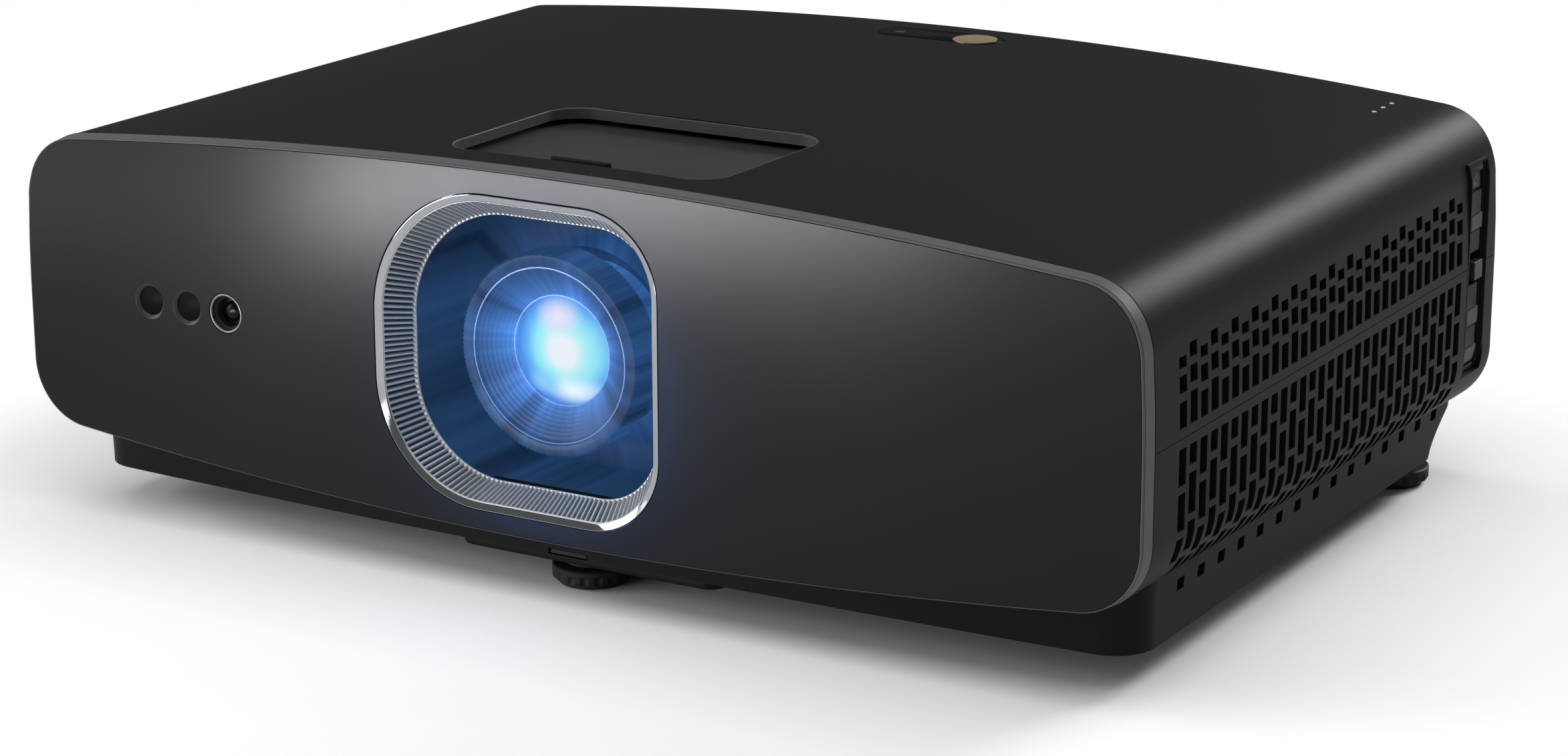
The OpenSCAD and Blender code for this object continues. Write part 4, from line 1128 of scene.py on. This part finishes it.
class PROJECTOR_OT_sensors(PieceOperator):
    """Build the two sensor windows and the camera"""

    bl_idname = "projector.sensors"
    bl_label = "Sensors"

    def make(self, s):
        left, right, camera = (centre for centre, _ in sensor_places())
        for name, finish, slot, stands_for, profile in (
            ("sensor_glasses", "window_black", "gloss_black", ("sensor_windows",),
             [(0.01, 1.12), (4.7, 1.14), (4.9, 1.25), (4.9, 3.8), (0.01, 3.8)]),
            ("sensor_chamfers", "panel_chamfer", "panel_grey", (),
             [(6.12, 0.03), (6.0, 0.06), (4.95, 1.1), (4.93, 2.5), (6.4, 2.6), (6.4, 0.5),
              (6.13, 0.4)]),
        ):
            bm = bmesh.new()
            for centre in (left, right):
                lathe(bm, profile, centre, 64)
            finish_piece(name, bm, finish, slot, stands_for=stands_for)
        rim = [(6.8, 2.3), (6.8, 0.35), (6.7, 0.15), (6.5, 0.04), (6.2, 0.03), (5.95, 0.12),
               (5.8, 0.35), (5.7, 0.8), (7.6, 2.5), (6.8, 2.5)]
        turned_piece("camera_rim", rim, camera, 72, "camera_rim", "silver",
                     stands_for=("camera_ring",), sharp=45)
        cup = [(5.68, 0.85), (5.2, 1.9), (5.0, 2.1), (4.95, 2.3), (4.85, 6), (7.6, 6), (7.6, 2.55)]
        turned_piece("camera_cup", cup, camera, 72, "dark_plastic", "gloss_black", sharp=25)
        glass = [(0.01, 2.5), (1.6, 2.65), (2.7, 3.1), (3.3, 3.7), (3.5, 4.3), (4.75, 4.4),
                 (4.75, 5.9), (0.01, 5.9)]
        turned_piece("camera_glass", glass, camera, 64, "black_gloss", "gloss_black",
                     stands_for=("camera_lens",))


class PROJECTOR_OT_lens_surround(PieceOperator):
    """Build the bezel, the ribbed funnel and the dark box behind it"""

    bl_idname = "projector.lens_surround"
    bl_label = "Lens surround"

    def make(self, s):
        samples = window_samples(s, 200, 0)
        profile = [(0, 3.9), (0, 0.3), (0.08, 0.1), (0.28, 0.03), (2.2, 0.75), (2.4, 0.86),
                   (2.5, 1.0), (2.5, 1.1), (1.0, 1.15), (1.0, 3.9)]
        rings = [[window_point(p, inset, y) for p in samples] for inset, y in profile]
        ring_piece("bezel_ring", rings, "bezel_metal", "silver", stands_for=("lens_bezel_ring",))
        self.funnel(s)
        paint_nodes("shroud_plastic", "lens_shroud")

    def funnel(self, s):
        """Flat bars round the opening that lean in towards the lens, and behind them a dark wall
        that is painted shade in the gaps between the bars.
        """
        per_rib, mouth, end = 6, 1.2, 4 + s["mouth_deep"]
        samples = window_samples(s, s["ribs"] * per_rib, 5)

        def ring(y, inset, sunk=0):
            lean = (y - mouth) / (end - mouth)
            return [
                funnel_point(s, p, inset - (sunk if k % per_rib > 2 else 0), y, lean)
                for k, p in enumerate(samples)
            ]

        rings = [ring(y, 2.62, sunk) for y, sunk in (
            (mouth, 0), (mouth + 0.25, 0), (mouth + 0.3, 1.4), (end - 0.5, 1.4), (end - 0.45, 0),
            (end, 0),
        )]
        for y, inset in ((end, -2.9), (4.2, -2.9), (4.15, 1.05), (mouth, 1.05)):
            rings.append([window_point(p, inset, y) for p in samples])
        ring_piece("lens_funnel_ribs", rings, "funnel_paint", "funnel_grey",
                   stands_for=("lens_funnel",), sharp=25)
        # A dark wall at the floor of the gaps between the bars: painted shade in the gaps
        near, far = mouth + 0.1, end - 0.3
        wall = [ring(near, 1.35), ring(far, 1.35), ring(far, 1.2), ring(near, 1.2)]
        ring_piece("lens_funnel_wall", wall, "funnel_dark", "black_plastic")


class PROJECTOR_OT_lens(PieceOperator):
    """Build the focus ring, the stepped barrel and the glasses"""

    bl_idname = "projector.lens"
    bl_label = "Lens"

    def make(self, s):
        self.focus_ring(s)
        axis, seat, front = (AXIS_X, AXIS_Z), RING_Y + 7.8, RING_Y + 0.3
        steps, inner, outer = 8, 18.7, 28.5
        width, rise = (outer - inner) / steps, seat - front - 0.6
        tube = [(29.35, front + 0.4), (29.35, RING_Y + 13.2), (30.6, RING_Y + 13.2),
                (30.6, RING_Y + 17), (25.5, RING_Y + 17), (25.5, 96), (22, 96), (22, 128),
                (18, 128), (18, seat + 6), (18.05, seat + 0.2)]
        for i in range(steps):
            r, y = inner + width * i, seat - rise * i / steps
            tube += [(r, y), (r + width * 0.78, y - 0.2), (inner + width * (i + 1), y - 0.3)]
        tube += [(28.7, front), (29.1, front)]
        turned_piece("lens_tube", tube, axis, 128, "barrel_black", "black_plastic", body="lens",
                     stands_for=("lens_barrel",), sharp=20)
        edge = [(28.85, front - 0.1), (29.25, front - 0.1), (29.25, front + 0.3),
                (28.85, front + 0.3)]
        turned_piece("barrel_edge", edge, axis, 128, "edge_metal", "silver", body="lens")
        retainer = [(18.0, seat + 0.25), (18.15, seat - 0.05), (18.55, seat - 0.05),
                    (18.6, seat + 0.3), (18.1, seat + 0.6)]
        turned_piece("glass_retainer", retainer, axis, 96, "edge_metal", "black_plastic",
                     body="lens")
        r, bulge, facets = 17.95, 3.2, 12
        big = bow_radius(r, bulge)
        tip = box_mm("front_lens_glass")[0].y
        edge = tip + bulge + 3.5
        angles = [math.asin(r / big) * i / facets for i in range(1, facets + 1)]
        dome = [(big * math.sin(a), tip + big - big * math.cos(a)) for a in angles]
        glass = [(0.01, tip), *dome, (r, edge), (0.01, edge)]
        turned_piece("front_glass", glass, axis, 96, "front_coating", "lens_glass", body="lens",
                     stands_for=("front_lens_glass",))

    def focus_ring(self, s):
        """The ring round the barrel, with teeth that run front to back."""
        out, steps = FOCUS[1].x - AXIS_X, s["teeth"] * 4
        plan = ((0.5, 29.45, 0), (0.1, 29.55, 0), (0, 29.8, 0), (0, out - 0.9, 0),
                (0.2, out - 0.5, 0.2), (0.6, out - 0.1, 0.5), (1.1, out, 0.6),
                (12.4, out - 0.05, 0.6), (13, out - 0.7, 0), (13, 29.45, 0))
        rings = []
        for y, r, depth in plan:
            ring = turned_ring((AXIS_X, AXIS_Z), steps, lambda k: r - depth * (k % 4 > 1))
            rings.append(upright(ring, RING_Y + y))
        ring_piece("focus_grip", rings, "ring_black", "black_plastic", body="focus",
                   stands_for=("focus_ring",), sharp=25)


class PROJECTOR_OT_door(PieceOperator):
    """Build the sliding door over the lens controls"""

    bl_idname = "projector.door"
    bl_label = "Sliding door"

    def make(self, s):
        lo, hi = DOOR
        grip = 11.2
        bm = bmesh.new()
        block(bm, lo, (hi.x, hi.y, lo.z + 2))
        for y in (lo.y + 12, lo.y + 14, lo.y + 16):
            block(bm, (-grip, y, lo.z + 1.9), (grip, y + 0.8, lo.z + 2.5))
        round_bevel(bm, 0.25)
        finish_piece("door_plate", bm, "door_plastic", "case_black", "door", ("sliding_door",), 50)
        tab = bmesh.new()
        for v in block(tab, (-grip, lo.y + 5, lo.z + 1.8), (grip, lo.y + 8.5, hi.z)):
            if v.co.z > hi.z - 1 and v.co.y > lo.y + 6:
                v.co.y -= 0.7
        spans = ((e, e.verts[0].co - e.verts[1].co) for e in tab.edges)
        bevel(tab, [e for e, span in spans if abs(span.x) < 0.01 and abs(span.z) > 1], 1.4, 5)
        round_bevel(tab, 0.3, 50)
        finish_piece("door_tab", tab, "case_plastic", "case_black", "door", sharp=50)
        paint_nodes("dark_plastic", "door_rails")


class PROJECTOR_OT_top_trim(PieceOperator):
    """Build the rear window on the top, its disc and the status lights"""

    bl_idname = "projector.top_trim"
    bl_label = "Top trim"

    def make(self, s):
        lo, hi = box_mm("top_ir_window")
        top = TALL - 0.45
        pill, inner = (
            round_plan(lo.x + g, hi.x - g, lo.y + g, hi.y - g, 10.3 - g, 14) for g in (1.9, 2.15)
        )
        bm = bmesh.new()
        stack(bm, [level(pill, top - 3), level(pill, top - 0.2), level(inner, top)])
        finish_piece("rear_window", bm, "window_black", "gloss_black",
                     stands_for=("top_ir_window",), sharp=50)
        spot = [(0.01, top + 0.01), (2.0, top + 0.01), (2.0, top + 0.05), (0.01, top + 0.06)]
        turned_piece("remote_sensor", spot, (-17, *centre_of("top_ir_window", "y")), 32,
                     "sensor_tint", "gloss_black", up=True)
        lo, hi = box_mm("trim_disc")
        r = (hi.x - lo.x) / 2
        disc = [(0.01, hi.z - 0.02), (r - 0.4, hi.z - 0.02), (r - 0.05, hi.z - 0.12),
                (r - 0.05, lo.z), (0.01, lo.z)]
        turned_piece("gold_disc", disc, centre_of("trim_disc", "xy"), 72, "disc_metal", "gold",
                     up=True, stands_for=("trim_disc",))
        paint_nodes("light_guide", "status_lights")


class PROJECTOR_OT_keys(PieceOperator):
    """Build the key recess and its keys"""

    bl_idname = "projector.keys"
    bl_label = "Side keys"

    def make(self, s):
        softened_copy("keypad_frame", "key_frame", "case_plastic", 0.25, "case_black")
        for key in ("power", "menu", "back", "source"):
            softened_copy(key + "_button", key + "_cap", "key_plastic", 0.35, "key_grey",
                          key + "_key")
        softened_copy("joystick_cap", "stick_top", "key_plastic", 0.35, "key_grey", "stick_cap")
        paint_nodes("dark_plastic", "joystick_stem", "joystick_pivot")
        self.power_sign()

    def power_sign(self):
        """The open ring and bar of the power sign, a hair proud of its key."""
        y, z = centre_of("power_button", "yz")
        key = box_mm("power_button")[1].x
        deep, face = key - 0.3, key + 0.03
        turns = [math.radians(125 + 290 * k / 32) for k in range(33)]
        section = ((deep, 1.25), (face, 1.25), (face, 1.6), (deep, 1.6))
        ring = [[(x, y + r * math.cos(a), z + r * math.sin(a)) for x, r in section] for a in turns]
        section = ((deep, -0.18), (face, -0.18), (face, 0.18), (deep, 0.18))
        bar = [[(x, y + aside, up) for x, aside in section] for up in (z + 0.4, z + 1.9)]
        bm = bmesh.new()
        stack(bm, ring)
        stack(bm, bar)
        finish_piece("power_sign", bm, "sign_paint", "key_grey", "power_key")


class PROJECTOR_OT_feet(PieceOperator):
    """Build the screw feet, the front leg and its release button"""

    bl_idname = "projector.feet"
    bl_label = "Feet"

    def make(self, s):
        for foot, body in (("front_foot", "front"), ("rear_left", "left"), ("rear_right", "right")):
            self.disc(foot, body + "_disc")
            paint_nodes("foot_rubber", foot + "_pad")
        paint_nodes("dark_plastic", "front_foot_leg")
        softened_copy("foot_release_button", "release_cap", "dark_plastic", 0.3, "black_plastic",
                      "release_button")

    def disc(self, foot, body):
        """A fluted knob on a threaded stem."""
        lo, hi = box_mm(foot + "_disc")
        centre = centre_of(foot + "_disc", "xy")
        r = (hi.x - lo.x) / 2
        ribs, bottom, top, flute_top, pitch = 18, lo.z, 6.4, 4.6, 0.75
        flute = (0, 0, 0, 0.6, 1, 1, 0.6, 0)
        steps = ribs * len(flute)
        plan = [(bottom, 0.6, 0), (bottom, r - 1.1, 0), (bottom + 0.4, r - 0.4, 0.2),
                (bottom + 0.9, r - 0.05, 0.7), (flute_top - 0.5, r - 0.02, 0.7), (flute_top, r, 0),
                (top - 0.4, r, 0), (top, r - 0.5, 0), (top, 4.4, 0)]
        for turn in range(int((hi.z - top) / pitch)):
            z = top + pitch * turn
            plan += [(z, 4.0, 0), (z + pitch / 2, 3.55, 0)]
        bm = bmesh.new()
        stack(bm, [
            level(turned_ring(centre, steps, lambda k: out - deep * flute[k % len(flute)]), z)
            for z, out, deep in plan
        ])
        finish_piece(foot + "_knob", bm, "foot_plastic", "black_plastic", body, (foot + "_disc",),
                     25)


class PROJECTOR_OT_rear(PieceOperator):
    """Finish the rear panel, its sockets and the parts behind it"""

    bl_idname = "projector.rear"
    bl_label = "Rear"

    def make(self, s):
        softened_copy("power_inlet", "inlet_housing", "dark_plastic", 0.3, "black_plastic")
        softened_copy("audio_jack", "jack_housing", "dark_plastic", 0.15, "black_plastic")
        paint_nodes("case_plastic", "rear_panel")
        paint_nodes("sheet_steel", "hdmi_ports", "usb_port", "inlet_pins")


class PROJECTOR_OT_inside(PieceOperator):
    """Give the parts inside the case their finishes"""

    bl_idname = "projector.inside"
    bl_label = "Inside"

    def make(self, s):
        paint_nodes("zoom_black", "zoom_ring", "lens_carriage")
        paint_nodes("dark_plastic", "shift_dial", "intake_fan_frame", "intake_fan_rotor",
                    "exhaust_fan_frame", "exhaust_fan_rotor", "speakers")
        paint_nodes("sheet_steel", "lens_mount_frame", "guide_rods", "chassis_plate")
        paint_nodes("fin_aluminium", "imaging_heat_sink", "fin_stack")
        paint_nodes("cast_metal", "light_engine")
        paint_nodes("heat_pipe_copper", "heat_pipes")
        paint_nodes("circuit_board", "main_board", "power_supply_board", "key_board",
                    "imaging_chip", "led_modules")
        paint_nodes("clear_glass", "rear_lens_glass")


class PROJECTOR_OT_stage(PieceOperator):
    """Set up the floor, the lights and the camera"""

    bl_idname = "projector.stage"
    bl_label = "Stage"

    def make(self, s):
        bpy.context.scene.view_settings.view_transform = "Standard"
        bm = bmesh.new()
        bmesh.ops.create_grid(bm, x_segments=2, y_segments=2, size=6)
        bmesh.ops.translate(bm, vec=(0, 0, -0.0004), verts=bm.verts)
        floor = new_object("floor", bm)
        floor.data.materials.append(paint("floor_paint"))
        self.world()
        self.lamp("top_softbox", (0.0, -0.4, 1.9), (0, -0.1, 0), 3.2, 2.4, 45)
        self.lamp("left_softbox", (-1.6, -0.9, 0.6), (-0.15, -0.1, 0), 1.4, 1.0, 24)
        self.lamp("right_softbox", (0.6, 1.5, 0.95), (0.15, 0, 0.12), 0.8, 0.5, 3.2, 60)
        near_lens = (0.05, -0.144, 0.13)
        self.lamp("panel_strip", (-0.212, -0.525, 0.04), near_lens, 0.27, 0.04, 0.4, 90)
        self.lamp("panel_wash", (-0.2, -0.56, 0.03), (0.0, *near_lens[1:]), 0.8, 0.05, 0.15, 110)
        self.camera()

    def world(self):
        """White to the camera and through glass, dim to everything else."""
        world = bpy.data.worlds.new("studio")
        bpy.context.scene.world = world
        world.use_nodes = True
        tree = world.node_tree
        tree.nodes.clear()
        dim = add_node(tree, "Background", {"Color": WHITE, "Strength": 0.18}).outputs[0]
        white = add_node(tree, "Background", {"Color": WHITE, "Strength": 1.0}).outputs[0]
        path = add_node(tree, "LightPath", {}).outputs
        seen = calc(tree, "MAXIMUM", path["Is Camera Ray"], path["Is Transmission Ray"])
        mix = add_node(tree, "MixShader", {0: seen, 1: dim, 2: white})
        add_node(tree, "OutputWorld", {0: mix.outputs[0]})

    def lamp(self, name, place, aim, width, depth, watts, spread=180):
        data = bpy.data.lights.new(name, "AREA")
        data.shape, data.size, data.size_y, data.energy = "RECTANGLE", width, depth, watts
        data.spread = math.radians(spread)
        lamp = bpy.data.objects.new(name, data)
        lamp.location = place
        lamp.rotation_euler = (Vector(aim) - Vector(place)).to_track_quat("-Z", "Y").to_euler()
        lamp.visible_camera = False
        bpy.context.scene.collection.objects.link(lamp)

    def camera(self):
        """Stands to the right of the front and looks slightly down."""
        turn, rise, roll = math.radians(30.623), math.radians(15.959), math.radians(-0.073)
        aim, distance = Vector((0.0303, LOW.y + 0.1, 0.0549)), 1.2715
        flat = math.cos(rise)
        back = Vector((math.sin(turn) * flat, -math.cos(turn) * flat, math.sin(rise)))
        data = bpy.data.cameras.new("camera")
        data.sensor_width, data.lens = 36, 87.33
        data.clip_start, data.clip_end = 0.05, 50
        camera = bpy.data.objects.new("camera", data)
        camera.location = aim + back * distance
        look = (-back).to_track_quat("-Z", "Y").to_matrix().to_4x4()
        camera.rotation_euler = (look @ Matrix.Rotation(roll, 4, "Z")).to_euler()
        bpy.context.scene.collection.objects.link(camera)
        bpy.context.scene.camera = camera


OPERATORS = (
    PROJECTOR_OT_case_top,
    PROJECTOR_OT_case_bottom,
    PROJECTOR_OT_base,
    PROJECTOR_OT_front_panel,
    PROJECTOR_OT_sensors,
    PROJECTOR_OT_lens_surround,
    PROJECTOR_OT_lens,
    PROJECTOR_OT_door,
    PROJECTOR_OT_top_trim,
    PROJECTOR_OT_keys,
    PROJECTOR_OT_feet,
    PROJECTOR_OT_rear,
    PROJECTOR_OT_inside,
    PROJECTOR_OT_stage,
)


class PROJECTOR_PT_pieces(bpy.types.Panel):
    """The projector's pieces, sizes and colours"""

    bl_idname = "PROJECTOR_PT_pieces"
    bl_label = "Projector"
    bl_space_type = "VIEW_3D"
    bl_region_type = "UI"
    bl_category = "Projector"

    def draw(self, context):
        column = self.layout.column()
        for operator in OPERATORS:
            column.operator(operator.bl_idname)
        for group in (context.scene.projector_sizes, context.scene.projector_colours):
            for key in own_keys(group):
                column.prop(group, key)


CLASSES = (ProjectorSizes, ProjectorColours, *OPERATORS, PROJECTOR_PT_pieces)


def register():
    for cls in CLASSES:
        bpy.utils.register_class(cls)
    bpy.types.Scene.projector_sizes = bpy.props.PointerProperty(type=ProjectorSizes)
    bpy.types.Scene.projector_colours = bpy.props.PointerProperty(type=ProjectorColours)


def unregister():
    del bpy.types.Scene.projector_colours
    del bpy.types.Scene.projector_sizes
    for cls in reversed(CLASSES):
        bpy.utils.unregister_class(cls)


def main():
    register()
    for operator in OPERATORS:
        group, name = operator.bl_idname.split(".")
        getattr(getattr(bpy.ops, group), name)()


if __name__ == "__main__":
    main()
